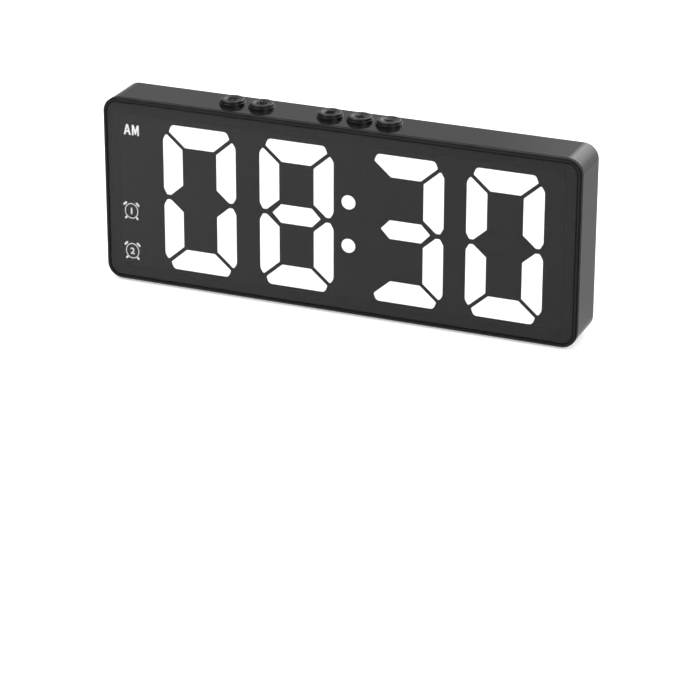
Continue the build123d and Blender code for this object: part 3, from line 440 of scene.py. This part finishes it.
def drawn_metal(name, colour, roughness, stretch, line=0.08 * MM):
    """Bright metal with fine lines left by rolling or drawing, and a few dull patches."""
    finish = Finish(name, colour, roughness, {"Metallic": 1.0})
    lines = finish.grains(line, stretch=stretch)
    dull = finish.grains(3 * MM, seed=6.0)
    finish.tint(dull, colour, shade(colour, 0.8))
    uneven = finish.calculate("ADD", finish.spread(lines, -0.05, 0.08), finish.spread(dull, 0.0, 0.06))
    finish.surface("Roughness", finish.calculate("ADD", uneven, roughness))
    finish.relief(lines, 0.003 * MM)
    return finish


def cell_sleeve(name, node):
    """A plain printed sleeve with a pale band by its raised end, and bare steel ends."""
    bare_end, band_middle, band_width = 1.7 * MM, 6.2 * MM, 8.4 * MM
    steel, foil_metallic = (0.6, 0.6, 0.58), 0.35
    low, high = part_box(node)
    facing = -1 if node == "cell_middle" else 1
    tip = high.x if facing > 0 else low.x
    finish = Finish(name, steel, 0.3)
    along = finish.calculate("MULTIPLY", finish.calculate("SUBTRACT", tip, finish.axis("X")), facing)
    length = high.x - low.x
    band = finish.within(along, band_middle, band_width / 2)
    sleeve = finish.within(along, length / 2, length / 2 - bare_end)
    flow = finish.grains(0.2 * MM, stretch=(40.0, 1.0, 1.0))
    ink = finish.blend(flow, (0.012, 0.075, 0.085), (0.018, 0.1, 0.11))
    pale = finish.blend(flow, (0.53, 0.54, 0.53), (0.56, 0.57, 0.56))
    finish.tint(sleeve, steel, finish.blend(band, ink, pale))
    finish.surface("Metallic", finish.spread(sleeve, 1.0, foil_metallic))
    finish.surface("Roughness", finish.spread(flow, 0.24, 0.34))
    return finish.material


def inlet_metal(name, low, high):
    """Plated shell of the supply inlet, with a black plastic tongue inside."""
    tongue_width, tongue_height = 6.8 * MM, 0.8 * MM
    finish = drawn_metal(name, (0.6, 0.61, 0.62), 0.28, (1.0, 30.0, 1.0))
    middle = (low + high) / 2
    level = finish.within(finish.axis("Z"), middle.z, tongue_height / 2)
    across = finish.within(finish.axis("X"), middle.x, tongue_width / 2)
    finish.cover_metal(finish.calculate("MULTIPLY", level, across), (0.015, 0.015, 0.016))
    return finish.material


def foot_rubber(name):
    """Soft black rubber with an even pebbled surface."""
    finish = Finish(name, (0.018, 0.018, 0.018), 0.78, {"Specular IOR Level": 0.3})
    dust = finish.grains(3 * MM, seed=4.0)
    finish.tint(dust, (0.014, 0.014, 0.014), (0.025, 0.025, 0.025))
    finish.relief(finish.grains(0.5 * MM, 4.0), 0.03 * MM)
    return finish.material


def mark_ink(name, colour):
    """Dull printing ink, slightly broken by the grain under it."""
    finish = Finish(name, colour, 0.75, {"Specular IOR Level": 0.15})
    broken = finish.grains(0.2 * MM)
    finish.tint(broken, shade(colour, 0.8), shade(colour, 1.4))
    finish.relief(finish.grains(0.25 * MM, seed=3.0), 0.004 * MM)
    return finish.material


def dress(names, material):
    """Give CAD nodes a finish in place of their plain one."""
    for name in names:
        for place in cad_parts[name].material_slots:
            place.material = material


# Thin printed shapes

def on_front(x, z, y):
    """From a shape's own plane to an upright face that looks forward, at depth y."""
    return Matrix(((1, 0, 0, x), (0, 0, -1, y), (0, 1, 0, z), (0, 0, 0, 1)))


def on_rear(x, z, y):
    """From a shape's own plane to an upright face that looks backward, at depth y."""
    return Matrix(((-1, 0, 0, x), (0, 0, 1, y), (0, 1, 0, z), (0, 0, 0, 1)))


def on_top(x, y, z):
    """From a shape's own plane to a level face that looks up, at height z."""
    return Matrix.Translation((x, y, z))


def circle_points(radius, count=48):
    """The outline of a circle about the middle."""
    turns = [math.tau * k / count for k in range(count)]
    return [(radius * math.cos(turn), radius * math.sin(turn)) for turn in turns]


def bar_points(start, end, width, steps=6):
    """The outline of a bar with round ends, from the middle of one end's arc to the other's."""
    turn = math.atan2(end[1] - start[1], end[0] - start[0])
    points = []
    for centre, facing in ((end, turn), (start, turn + math.pi)):
        for k in range(steps + 1):
            angle = facing - math.pi / 2 + math.pi * k / steps
            points.append((centre[0] + width / 2 * math.cos(angle), centre[1] + width / 2 * math.sin(angle)))
    return points


def alarm_outlines(ring, line):
    """A round alarm clock seen from the front: its ring, two bells above and two legs below.

    The bells and legs are bars clear of the ring, between ends given in the ring's radius.
    """
    bell = ((1.08, 0.78), (0.78, 1.03))
    leg = ((0.78, -0.85), (0.88, -0.96))
    stretch, stoutness = 1.12, 0.28
    radius = ring / 2
    outlines = [circle_points(radius), circle_points(radius - line)]
    for side in (-radius, radius):
        for bar in (bell, leg):
            start, end = ((side * x, radius * z) for x, z in bar)
            outlines.append(bar_points(start, end, stoutness * radius))
    return [[(x, z * stretch) for x, z in outline] for outline in outlines]


def letter_outlines(size, gap):
    """The letters A and M side by side in plain heavy strokes, about the middle of the pair."""
    width, height = (size[0] - gap) / 2, size[1]
    a_shape = [(0, 0), (0.25, 0), (0.33, 0.24), (0.67, 0.24), (0.75, 0), (1, 0), (0.64, 1), (0.36, 1)]
    a_hole = [(0.385, 0.42), (0.615, 0.42), (0.5, 0.79)]
    m_shape = [(0, 0), (0, 1), (0.27, 1), (0.5, 0.5), (0.73, 1), (1, 1), (1, 0), (0.78, 0), (0.78, 0.56),
               (0.56, 0.08), (0.44, 0.08), (0.22, 0.56), (0.22, 0)]
    outlines = []
    for start, letter in ((-size[0] / 2, a_shape), (-size[0] / 2, a_hole), (gap / 2, m_shape)):
        outlines.append([(start + x * width, (z - 0.5) * height) for x, z in letter])
    return outlines


def cross_points(reach, half_width):
    """The outline of an upright cross about the middle."""
    quarter = [(-reach, -half_width), (-half_width, -half_width), (-half_width, -reach)]
    quarter_turns = ((1, 0), (0, 1), (-1, 0), (0, -1))
    return [(x * cos - y * sin, x * sin + y * cos) for cos, sin in quarter_turns for x, y in quarter]


def mesh_of(curve, name, place):
    """Turn a filled curve or words into a plain mesh set in its place; returns the new object."""
    source = bpy.data.objects.new(name + "_source", curve)
    bpy.context.scene.collection.objects.link(source)
    bpy.context.view_layer.update()
    shape = bpy.data.meshes.new_from_object(source.evaluated_get(bpy.context.evaluated_depsgraph_get()))
    bpy.data.objects.remove(source)
    bpy.data.curves.remove(curve)
    shape.name = name
    shape.transform(place)
    shape.materials.clear()
    piece = bpy.data.objects.new(name, shape)
    bpy.context.scene.collection.objects.link(piece)
    return piece


def printed_shape(name, outlines, thickness, place=Matrix.Identity(4)):
    """A thin plate from closed outlines; an outline inside another one is a hole."""
    curve = bpy.data.curves.new(name, "CURVE")
    curve.dimensions = "2D"
    curve.fill_mode = "BOTH"
    curve.extrude = thickness / 2
    for outline in outlines:
        line = curve.splines.new("POLY")
        line.points.add(len(outline) - 1)
        for point, (x, y) in zip(line.points, outline):
            point.co = (x, y, 0.0, 1.0)
        line.use_cyclic_u = True
    return mesh_of(curve, name, place @ Matrix.Translation((0, 0, thickness / 2)))


def printed_words(name, words, size, boldness, thickness, place):
    """Plain generic lettering as a thin plate, fitted to a width and height."""
    curve = bpy.data.curves.new(name, "FONT")
    curve.body = words
    curve.offset = boldness
    curve.extrude = 0.5
    curve.resolution_u = 6
    piece = mesh_of(curve, name, Matrix.Identity(4))
    corners = [vertex.co for vertex in piece.data.vertices]
    low = Vector([min(corner[axis] for corner in corners) for axis in range(3)])
    high = Vector([max(corner[axis] for corner in corners) for axis in range(3)])
    fit = Matrix.Diagonal((size[0] / (high.x - low.x), size[1] / (high.y - low.y), thickness, 1.0))
    centre = Matrix.Translation(-(low + high) / 2)
    piece.data.transform(place @ Matrix.Translation((0, 0, thickness / 2)) @ fit @ centre)
    return piece


def add_to_clock(piece, material, body):
    """Give a new piece its finish, and let it ride on its body."""
    piece.data.materials.clear()
    piece.data.materials.append(material)
    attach(piece, body)
    return piece


# Rows and rings of copies

def copies_tree(name, places):
    """A tree that sets a shape at each of the points that places adds to it, as plain geometry."""
    tree = bpy.data.node_groups.new(name, "GeometryNodeTree")
    tree.interface.new_socket("Shape", in_out="INPUT", socket_type="NodeSocketObject")
    tree.interface.new_socket("Finish", in_out="INPUT", socket_type="NodeSocketMaterial")
    tree.interface.new_socket("Count", in_out="INPUT", socket_type="NodeSocketInt")
    tree.interface.new_socket("Geometry", in_out="OUTPUT", socket_type="NodeSocketGeometry")
    group = tree.nodes.new("NodeGroupInput")
    copies = tree.nodes.new("GeometryNodeInstanceOnPoints")
    places(tree, group, copies)
    shape = tree.nodes.new("GeometryNodeObjectInfo")
    plain = tree.nodes.new("GeometryNodeRealizeInstances")
    finish = tree.nodes.new("GeometryNodeSetMaterial")
    end = tree.nodes.new("NodeGroupOutput")
    for source, target in (
        (group.outputs["Shape"], shape.inputs["Object"]),
        (shape.outputs["Geometry"], copies.inputs["Instance"]),
        (copies.outputs["Instances"], plain.inputs["Geometry"]),
        (plain.outputs["Geometry"], finish.inputs["Geometry"]),
        (group.outputs["Finish"], finish.inputs["Material"]),
        (finish.outputs["Geometry"], end.inputs["Geometry"]),
    ):
        tree.links.new(source, target)
    return tree


def row_places(tree, group, copies):
    """Points in a straight row, from a start by an even step."""
    tree.interface.new_socket("Start", in_out="INPUT", socket_type="NodeSocketVector")
    tree.interface.new_socket("Step", in_out="INPUT", socket_type="NodeSocketVector")
    row = tree.nodes.new("GeometryNodeMeshLine")
    tree.links.new(group.outputs["Count"], row.inputs["Count"])
    tree.links.new(group.outputs["Start"], row.inputs["Start Location"])
    tree.links.new(group.outputs["Step"], row.inputs["Offset"])
    tree.links.new(row.outputs["Mesh"], copies.inputs["Points"])


def ring_places(tree, group, copies):
    """Points round a circle, each copy's own Y turned outwards."""
    tree.interface.new_socket("Radius", in_out="INPUT", socket_type="NodeSocketFloat")
    ring = tree.nodes.new("GeometryNodeMeshCircle")
    place = tree.nodes.new("GeometryNodeInputPosition")
    outwards = tree.nodes.new("FunctionNodeAlignRotationToVector")
    outwards.axis = "Y"
    outwards.pivot_axis = "Z"
    tree.links.new(group.outputs["Count"], ring.inputs["Vertices"])
    tree.links.new(group.outputs["Radius"], ring.inputs["Radius"])
    tree.links.new(place.outputs["Position"], outwards.inputs["Vector"])
    tree.links.new(ring.outputs["Mesh"], copies.inputs["Points"])
    tree.links.new(outwards.outputs["Rotation"], copies.inputs["Rotation"])


def copies_of(name, tree, shape, material, place, **sizes):
    """Run a tree of copies on a shape, and keep the result as a plain mesh set in its place."""
    host = bpy.data.objects.new(name, bpy.data.meshes.new(name + "_host"))
    bpy.context.scene.collection.objects.link(host)
    modifier = host.modifiers.new("Copies", "NODES")
    modifier.node_group = tree
    named = {item.name: item.identifier for item in tree.interface.items_tree if item.in_out == "INPUT"}
    for socket, value in {"Shape": shape, "Finish": material, **sizes}.items():
        modifier[named[socket]] = value
    bpy.context.view_layer.update()
    made = bpy.data.meshes.new_from_object(host.evaluated_get(bpy.context.evaluated_depsgraph_get()))
    made.name = name
    made.transform(place)
    host.modifiers.remove(modifier)
    host.data = made
    bpy.data.objects.remove(shape)
    return host


# The clock's pieces

class CLOCK_OT_housing(bpy.types.Operator):
    """Finish the shell, the battery door and the feet"""

    bl_idname = "clock.housing"
    bl_label = "Housing"

    def execute(self, context):
        colour = tuple(context.scene.clock_colours.housing)
        for node, name in (("rear_housing", "Housing plastic"), ("battery_door", "Door plastic")):
            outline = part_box("front_frame" if node == "rear_housing" else node)
            dress([node], housing_plastic(name, colour, *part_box(node), outline))
        feet = [f"foot_{row}_{side}" for row in ("front", "rear") for side in ("left", "right")]
        dress(feet, foot_rubber("Foot rubber"))
        return {"FINISHED"}


class CLOCK_OT_face(bpy.types.Operator):
    """Finish the rim, the smoked lens and the black light box"""

    bl_idname = "clock.face"
    bl_label = "Face"

    def execute(self, context):
        colours = context.scene.clock_colours
        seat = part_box("front_lens")[1].y
        dress(["front_frame"], rim_plastic("Rim plastic", tuple(colours.rim), *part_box("front_frame"), seat))
        dress(["front_lens"], smoked_acrylic("Smoked lens", tuple(colours.lens), colours.lens_density))
        light_box = moulded_plastic("Light box plastic", (0.008, 0.008, 0.0085), 0.6, grain=0.2 * MM,
                                    settings={"Specular IOR Level": 0.3})
        dress(["display_reflector"], light_box.material)
        return {"FINISHED"}


class CLOCK_OT_numerals(bpy.types.Operator):
    """Light the numerals' bars and the two dots, and leave the other bars dark"""

    bl_idname = "clock.numerals"
    bl_label = "Numerals"

    def execute(self, context):
        colours = context.scene.clock_colours
        lit = milky_diffuser("Lit diffuser", (0.9, 0.9, 0.9), colours.numerals_glow, tuple(colours.numerals))
        dress(NUMERALS + ["colon_dots"], lit)
        dress(["unlit_segments"], milky_diffuser("Dark diffuser", (0.015, 0.015, 0.015), 0.0, None))
        return {"FINISHED"}


class CLOCK_OT_signs(bpy.types.Operator):
    """Print the morning sign and the two numbered alarm signs on the light box, behind the lens"""

    bl_idname = "clock.signs"
    bl_label = "Signs"

    def execute(self, context):
        sizes = context.scene.clock_sizes
        colours = context.scene.clock_colours
        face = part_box("display_reflector")[0].y
        thickness = sizes.print_thickness
        white = milky_diffuser("Morning sign ink", (0.85, 0.85, 0.85), colours.signs_glow, WHITE)
        pale = milky_diffuser("Alarm sign ink", (0.8, 0.8, 0.8), colours.alarms_glow, WHITE)
        letters = letter_outlines(sizes.morning_size, 0.45 * MM)
        morning = printed_shape("morning_sign", letters, thickness, on_front(*sizes.morning_place, face))
        add_to_clock(morning, white, "clock_body")
        for number, height in enumerate(sizes.alarm_heights, start=1):
            place = on_front(sizes.sign_x, height, face)
            outlines = alarm_outlines(sizes.alarm_ring, sizes.alarm_line)
            clock = printed_shape(f"alarm_sign_{number}", outlines, thickness, place)
            add_to_clock(clock, pale, "clock_body")
            if number == 1:
                stroke = [bar_points((0, -0.9 * MM), (0, 0.9 * MM), 0.5 * MM)]
                numeral = printed_shape("alarm_numeral_1", stroke, thickness, place)
            else:
                size = (1.5 * MM, 2.2 * MM)
                numeral = printed_words("alarm_numeral_2", "2", size, 0.02, thickness, place)
            add_to_clock(numeral, pale, "clock_body")
        return {"FINISHED"}


class CLOCK_OT_buttons(bpy.types.Operator):
    """Finish the buttons and their switches, and print a mark on each cap"""

    bl_idname = "clock.buttons"
    bl_label = "Buttons"

    def execute(self, context):
        colours = context.scene.clock_colours
        sizes = context.scene.clock_sizes
        black = tuple(colours.housing)
        cap = moulded_plastic("Button plastic", black, 0.3, 0.25 * MM, 0.001 * MM, {"IOR": 1.5})
        dress([f"button_cap_{number}" for number in BUTTONS], cap.material)
        plunger = moulded_plastic("Plunger plastic", (0.55, 0.55, 0.52), 0.4, grain=0.2 * MM)
        dress([f"switch_plunger_{number}" for number in BUTTONS], plunger.material)
        self.finish_switches()
        ink = mark_ink("Mark ink", tuple(colours.marks))
        half = sizes.button_mark / 2
        line = sizes.button_mark / 8
        marks = {
            1: alarm_outlines(0.8 * sizes.button_mark, line),
            2: [circle_points(0.42 * half), circle_points(0.42 * half - line)],
            3: [bar_points((-0.75 * half, y * half), (0.75 * half, y * half), line) for y in (-0.6, 0, 0.6)],
            4: [cross_points(half, line / 2)],
            5: [bar_points((-0.85 * half, 0), (0.85 * half, 0), line)],
        }
        for number in BUTTONS:
            low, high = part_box(f"button_cap_{number}")
            middle = (low + high) / 2
            place = on_top(middle.x, middle.y, high.z - sizes.button_dish)
            mark = printed_shape(f"button_mark_{number}", marks[number], sizes.button_relief, place)
            add_to_clock(mark, ink, f"button_{number}")
            if number == 2:
                self.add_rays(place, half, line, ink, sizes.button_relief)
        return {"FINISHED"}

    def finish_switches(self):
        """Black switch bodies under a bright cover plate, with bright legs."""
        finish = moulded_plastic("Switch plastic", (0.02, 0.02, 0.02), 0.5, grain=0.2 * MM)
        lead_ends(finish, *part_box("switch_body_1"), 0.31 * MM, (0.55, 0.55, 0.54))
        dress([f"switch_body_{number}" for number in BUTTONS], finish.material)

    def add_rays(self, place, half, line, ink, thickness):
        """The rays all round the ring of the brightness mark."""
        ray = printed_shape("ray", [bar_points((0, -0.12 * half), (0, 0.12 * half), line)], thickness)
        tree = copies_tree("Ring of Copies", ring_places)
        rays = copies_of("button_rays_2", tree, ray, ink, place, Count=8, Radius=0.82 * half)
        add_to_clock(rays, ink, "button_2")


class CLOCK_OT_boards(bpy.types.Operator):
    """Finish the three circuit boards and what is soldered to them"""

    bl_idname = "clock.boards"
    bl_label = "Boards"

    def execute(self, context):
        dress(["display_board", "main_board"], circuit_board("Upright circuit board", "X", "Z"))
        dress(["key_board"], circuit_board("Level circuit board", "X", "Y"))
        dress(["led_chips"], light_chip("Light chip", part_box("led_chips")[0].y))
        dress(["clock_chip"], chip_with_leads("Clock chip", *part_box("clock_chip"), 1.25 * MM))
        crystal = drawn_metal("Crystal can", (0.66, 0.66, 0.63), 0.25, (20.0, 1.0, 1.0))
        dress(["quartz_crystal"], crystal.material)
        self.finish_capacitor()
        header = moulded_plastic("Header plastic", BLACK_PLASTIC, 0.5, grain=0.2 * MM)
        dress(["board_header"], header.material)
        self.finish_buzzer()
        return {"FINISHED"}

    def finish_capacitor(self):
        """A bright can with a black stripe at one side, on a black base."""
        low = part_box("capacitor")[0]
        stripe_reach, base_height = 1.3 * MM, 0.82 * MM
        finish = drawn_metal("Capacitor can", (0.72, 0.73, 0.74), 0.24, (1.0, 12.0, 1.0))
        stripe = finish.within(finish.axis("X"), low.x, stripe_reach)
        base = finish.within(finish.axis("Y"), low.y, base_height)
        finish.cover_metal(finish.calculate("MAXIMUM", stripe, base), (0.015, 0.015, 0.016))
        dress(["capacitor"], finish.material)

    def finish_buzzer(self):
        """Black plastic with fine turned rings round its sound hole."""
        low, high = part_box("buzzer")
        ring_pitch = 0.5 * MM
        finish = moulded_plastic("Buzzer plastic", (0.014, 0.014, 0.015), 0.42, grain=0.2 * MM)
        across = finish.calculate("POWER", finish.from_middle("X", low.x, high.x), 2.0)
        up = finish.calculate("POWER", finish.from_middle("Z", low.z, high.z), 2.0)
        radius = finish.calculate("SQRT", finish.calculate("ADD", across, up))
        turns = finish.calculate("MULTIPLY", radius, math.tau / ring_pitch)
        finish.relief(finish.calculate("SINE", turns), 0.01 * MM)
        dress(["buzzer"], finish.material)


class CLOCK_OT_power(bpy.types.Operator):
    """Finish the cells, their contacts, the supply inlet and the screws, and mark the cells' ends"""

    bl_idname = "clock.power"
    bl_label = "Power"

    def execute(self, context):
        for name in CELLS:
            dress([name], cell_sleeve(name.replace("_", " ") + " sleeve", name))
        plated = drawn_metal("Contact plating", (0.68, 0.66, 0.62), 0.26, (1.0, 8.0, 1.0))
        dress(["contact_plates", "leaf_springs"], plated.material)
        dress(["supply_inlet"], inlet_metal("Inlet plating", *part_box("supply_inlet")))
        zinc = drawn_metal("Screw zinc", (0.16, 0.16, 0.17), 0.34, (1.0, 1.0, 1.0))
        dress(["housing_screws", "main_board_screws", "key_board_screws"], zinc.material)
        self.add_contacts(plated.material)
        thickness = context.scene.clock_sizes.print_thickness
        self.mark_cells(thickness)
        self.mark_door(thickness)
        return {"FINISHED"}

    def add_contacts(self, material):
        """Two rows of plated contacts on the faces of the inlet's tongue."""
        low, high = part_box("supply_inlet")
        middle = (low + high) / 2
        middle.y = high.y - 2.9 * MM
        half_length, width, thickness = 1.9 * MM, 0.28 * MM, 0.04 * MM
        count, pitch, tongue_face = 12, 0.5 * MM, 0.35 * MM
        outline = bar_points((0, -half_length), (0, half_length), width)
        start, step = (-(count - 1) / 2 * pitch, 0.0, tongue_face), (pitch, 0.0, 0.0)
        tree = copies_tree("Row of Copies", row_places)
        for name, up in (("inlet_contacts_upper", 1), ("inlet_contacts_lower", -1)):
            strip = printed_shape("strip", [outline], thickness)
            face = Matrix.Translation(middle) @ Matrix.Diagonal((1, 1, up, 1))
            row = copies_of(name, tree, strip, material, face, Count=count, Start=start, Step=step)
            if up < 0:
                row.data.flip_normals()
            add_to_clock(row, material, "clock_body")

    def mark_cells(self, thickness):
        """A cross at each cell's raised end and a bar at its flat end, on the side that faces the door."""
        from_tip, from_flat = 13.5 * MM, 4.5 * MM
        reach, half_width = 1.3 * MM, 0.28 * MM
        pale = mark_ink("Cell mark ink", (0.62, 0.62, 0.6))
        cross = cross_points(reach, half_width)
        dash = bar_points((half_width - reach, 0), (reach - half_width, 0), 2 * half_width)
        tree = copies_tree("Row of Cell Marks", row_places)
        outer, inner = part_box("cell_lower"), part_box("cell_middle")
        rise = inner[0].z - outer[0].z
        for name, outline, outer_x, inner_x in (
            ("cell_plus_marks", cross, outer[1].x - from_tip, inner[0].x + from_tip),
            ("cell_minus_marks", dash, outer[0].x + from_flat, inner[1].x - from_flat),
        ):
            shape = printed_shape("mark", [outline], thickness)
            place = on_rear(outer_x, (outer[0].z + outer[1].z) / 2, outer[1].y)
            marks = copies_of(name, tree, shape, pale, place, Count=2, Start=(0.0, 0.0, 0.0),
                              Step=(0.0, 2 * rise, 0.0))
            add_to_clock(marks, pale, "clock_body")
            place = on_rear(inner_x, (inner[0].z + inner[1].z) / 2, inner[1].y)
            mark = printed_shape(name + "_middle", [outline], thickness, place)
            add_to_clock(mark, pale, "clock_body")

    def mark_door(self, thickness):
        """A small arrow under the catch, pointing the way it is pressed."""
        low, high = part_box("battery_door")
        below_top, half_width, head, tip = 10.5 * MM, 2.2 * MM, 1.3 * MM, -1.6 * MM
        arrow = [(-half_width, head), (0.0, tip), (half_width, head)]
        place = on_rear((low.x + high.x) / 2, high.z - below_top, high.y)
        mark = printed_shape("door_arrow", [arrow], thickness, place)
        add_to_clock(mark, mark_ink("Arrow ink", (0.16, 0.16, 0.16)), "door")


class CLOCK_OT_studio(bpy.types.Operator):
    """Set up the pale floor, the soft lights, the surround and the camera"""

    bl_idname = "clock.studio"
    bl_label = "Studio"

    def execute(self, context):
        studio = context.scene.clock_studio
        context.scene.view_settings.view_transform = "Standard"
        self.make_floor(tuple(studio.floor), studio.floor_in_gloss)
        self.make_surround(studio.sky, studio.sky_in_gloss, studio.glow)
        self.soft_light("key_light", (-0.5, -0.7, 0.95), 0.9, studio.key_power)
        self.soft_light("fill_light", (0.9, -0.5, 0.6), 0.8, studio.fill_power)
        self.make_camera(studio)
        return {"FINISHED"}

    def make_floor(self, colour, in_gloss):
        """A wide matte floor, lifted to white for the camera, that keeps the clock's soft shadow.

        In gloss it shows painted light and shade: it falls off to the right and beside the clock, as under a
        light from the front left, and rises again far behind, towards the glow of the surround.
        """
        half, lift = 3.0, 0.45
        shape = bpy.data.meshes.new("floor")
        corners = [(-half, -half, 0), (half, -half, 0), (half, half, 0), (-half, half, 0)]
        shape.from_pydata(corners, [], [(0, 1, 2, 3)])
        floor = bpy.data.objects.new("floor", shape)
        bpy.context.scene.collection.objects.link(floor)
        finish = Finish("Floor", colour, 1.0, {"Specular IOR Level": 0.0, "Emission Color": (*WHITE, 1.0)})
        path = finish.add("ShaderNodeLightPath")
        finish.surface("Emission Strength", finish.calculate("MULTIPLY", path.outputs["Is Camera Ray"], lift))
        # Painted shade and light on the floor where glossy faces mirror it: darker beside and behind the
        # clock and to the right, lighter far behind.
        painted_shade_beside = finish.spread(finish.axis("Y"), 1.0, 0.725, start=-0.03, end=0.03)
        painted_shade_rightwards = finish.spread(finish.axis("X"), 1.1, 0.8, start=-0.13, end=0.06)
        painted_light_far_behind = finish.spread(finish.axis("Y"), in_gloss, 1.7 * in_gloss, start=0.15, end=0.6)
        plain = finish.add("ShaderNodeEmission")
        finish.feed(plain.inputs["Strength"], finish.gather("MULTIPLY", (painted_shade_beside, painted_shade_rightwards, painted_light_far_behind)))
        mix = finish.add("ShaderNodeMixShader")
        finish.feed(mix.inputs[0], path.outputs["Is Glossy Ray"])
        finish.feed(mix.inputs[1], finish.shader.outputs[0])
        finish.feed(mix.inputs[2], plain.outputs[0])
        finish.feed(finish.tree.nodes["Material Output"].inputs["Surface"], mix.outputs[0])
        shape.materials.append(finish.material)

    def make_surround(self, strength, in_gloss, glow):
        """A surround, plain white to the eye, that glows softly behind and above the clock's right end."""
        world = bpy.data.worlds.new("Surround")
        bpy.context.scene.world = world
        world.use_nodes = True
        sky = Shading(world.node_tree, "Generated")
        path = sky.add("ShaderNodeLightPath").outputs
        shares = [sky.spread(sky.axis(name), 0.0, 1.0, start, end)
                  for name, start, end in (("X", -0.31, -0.09), ("Y", 0.3, 0.7), ("Z", -0.1, 0.42))]
        bright = sky.gather("MULTIPLY", (*shares, glow))
        even = sky.spread(path["Is Glossy Ray"], strength, in_gloss)
        level = sky.spread(path["Is Camera Ray"], sky.calculate("ADD", even, bright), 1.0)
        surround = sky.tree.nodes["Background"]
        sky.feed(surround.inputs["Color"], (*WHITE, 1.0))
        sky.feed(surround.inputs["Strength"], level)

    def soft_light(self, name, place, size, power):
        """A large square soft box at a place, aimed at the middle of the clock."""
        aim = Vector((0, 0, 0.03))
        light = bpy.data.lights.new(name, "AREA")
        light.shape = "SQUARE"
        light.size = size
        light.energy = power
        box = bpy.data.objects.new(name, light)
        bpy.context.scene.collection.objects.link(box)
        box.location = place
        box.rotation_euler = (aim - Vector(place)).to_track_quat("-Z", "Y").to_euler()
        box.visible_camera = False

    def make_camera(self, studio):
        """A long lens at the photograph's angle, turned a little about its line of sight."""
        camera = bpy.data.cameras.new("camera")
        camera.lens = studio.camera_lens
        camera.sensor_width = 36.0
        camera.clip_start = 0.01
        camera.clip_end = 20.0
        holder = bpy.data.objects.new("camera", camera)
        bpy.context.scene.collection.objects.link(holder)
        holder.location = studio.camera_place
        level = Euler((math.pi / 2 - studio.camera_pitch, 0.0, studio.camera_yaw)).to_matrix()
        holder.rotation_euler = (level @ Matrix.Rotation(studio.camera_roll, 3, "Z")).to_euler()
        bpy.context.scene.camera = holder


class CLOCK_PT_sidebar(bpy.types.Panel):
    """Lists the clock's pieces and their settings"""

    bl_idname = "CLOCK_PT_sidebar"
    bl_label = "Desk Clock"
    bl_space_type = "VIEW_3D"
    bl_region_type = "UI"
    bl_category = "Desk Clock"

    def draw(self, context):
        for step in STEPS:
            self.layout.operator(step.bl_idname)
        for settings in (context.scene.clock_colours, context.scene.clock_sizes, context.scene.clock_studio):
            box = self.layout.box()
            for name in type(settings).__annotations__:
                box.prop(settings, name)


STEPS = (CLOCK_OT_housing, CLOCK_OT_face, CLOCK_OT_numerals, CLOCK_OT_signs, CLOCK_OT_buttons,
         CLOCK_OT_boards, CLOCK_OT_power, CLOCK_OT_studio)
GROUPS = {"clock_colours": ClockColours, "clock_sizes": ClockSizes, "clock_studio": ClockStudio}


def register():
    for group in GROUPS.values():
        bpy.utils.register_class(group)
    for name, group in GROUPS.items():
        setattr(bpy.types.Scene, name, bpy.props.PointerProperty(type=group))
    for piece in (*STEPS, CLOCK_PT_sidebar):
        bpy.utils.register_class(piece)


def unregister():
    for piece in reversed((*STEPS, CLOCK_PT_sidebar)):
        bpy.utils.unregister_class(piece)
    for name in GROUPS:
        delattr(bpy.types.Scene, name)
    for group in reversed(list(GROUPS.values())):
        bpy.utils.unregister_class(group)


def main():
    register()
    bpy.ops.clock.housing()
    bpy.ops.clock.face()
    bpy.ops.clock.numerals()
    bpy.ops.clock.signs()
    bpy.ops.clock.buttons()
    bpy.ops.clock.boards()
    bpy.ops.clock.power()
    bpy.ops.clock.studio()


if __name__ == "__main__":
    main()
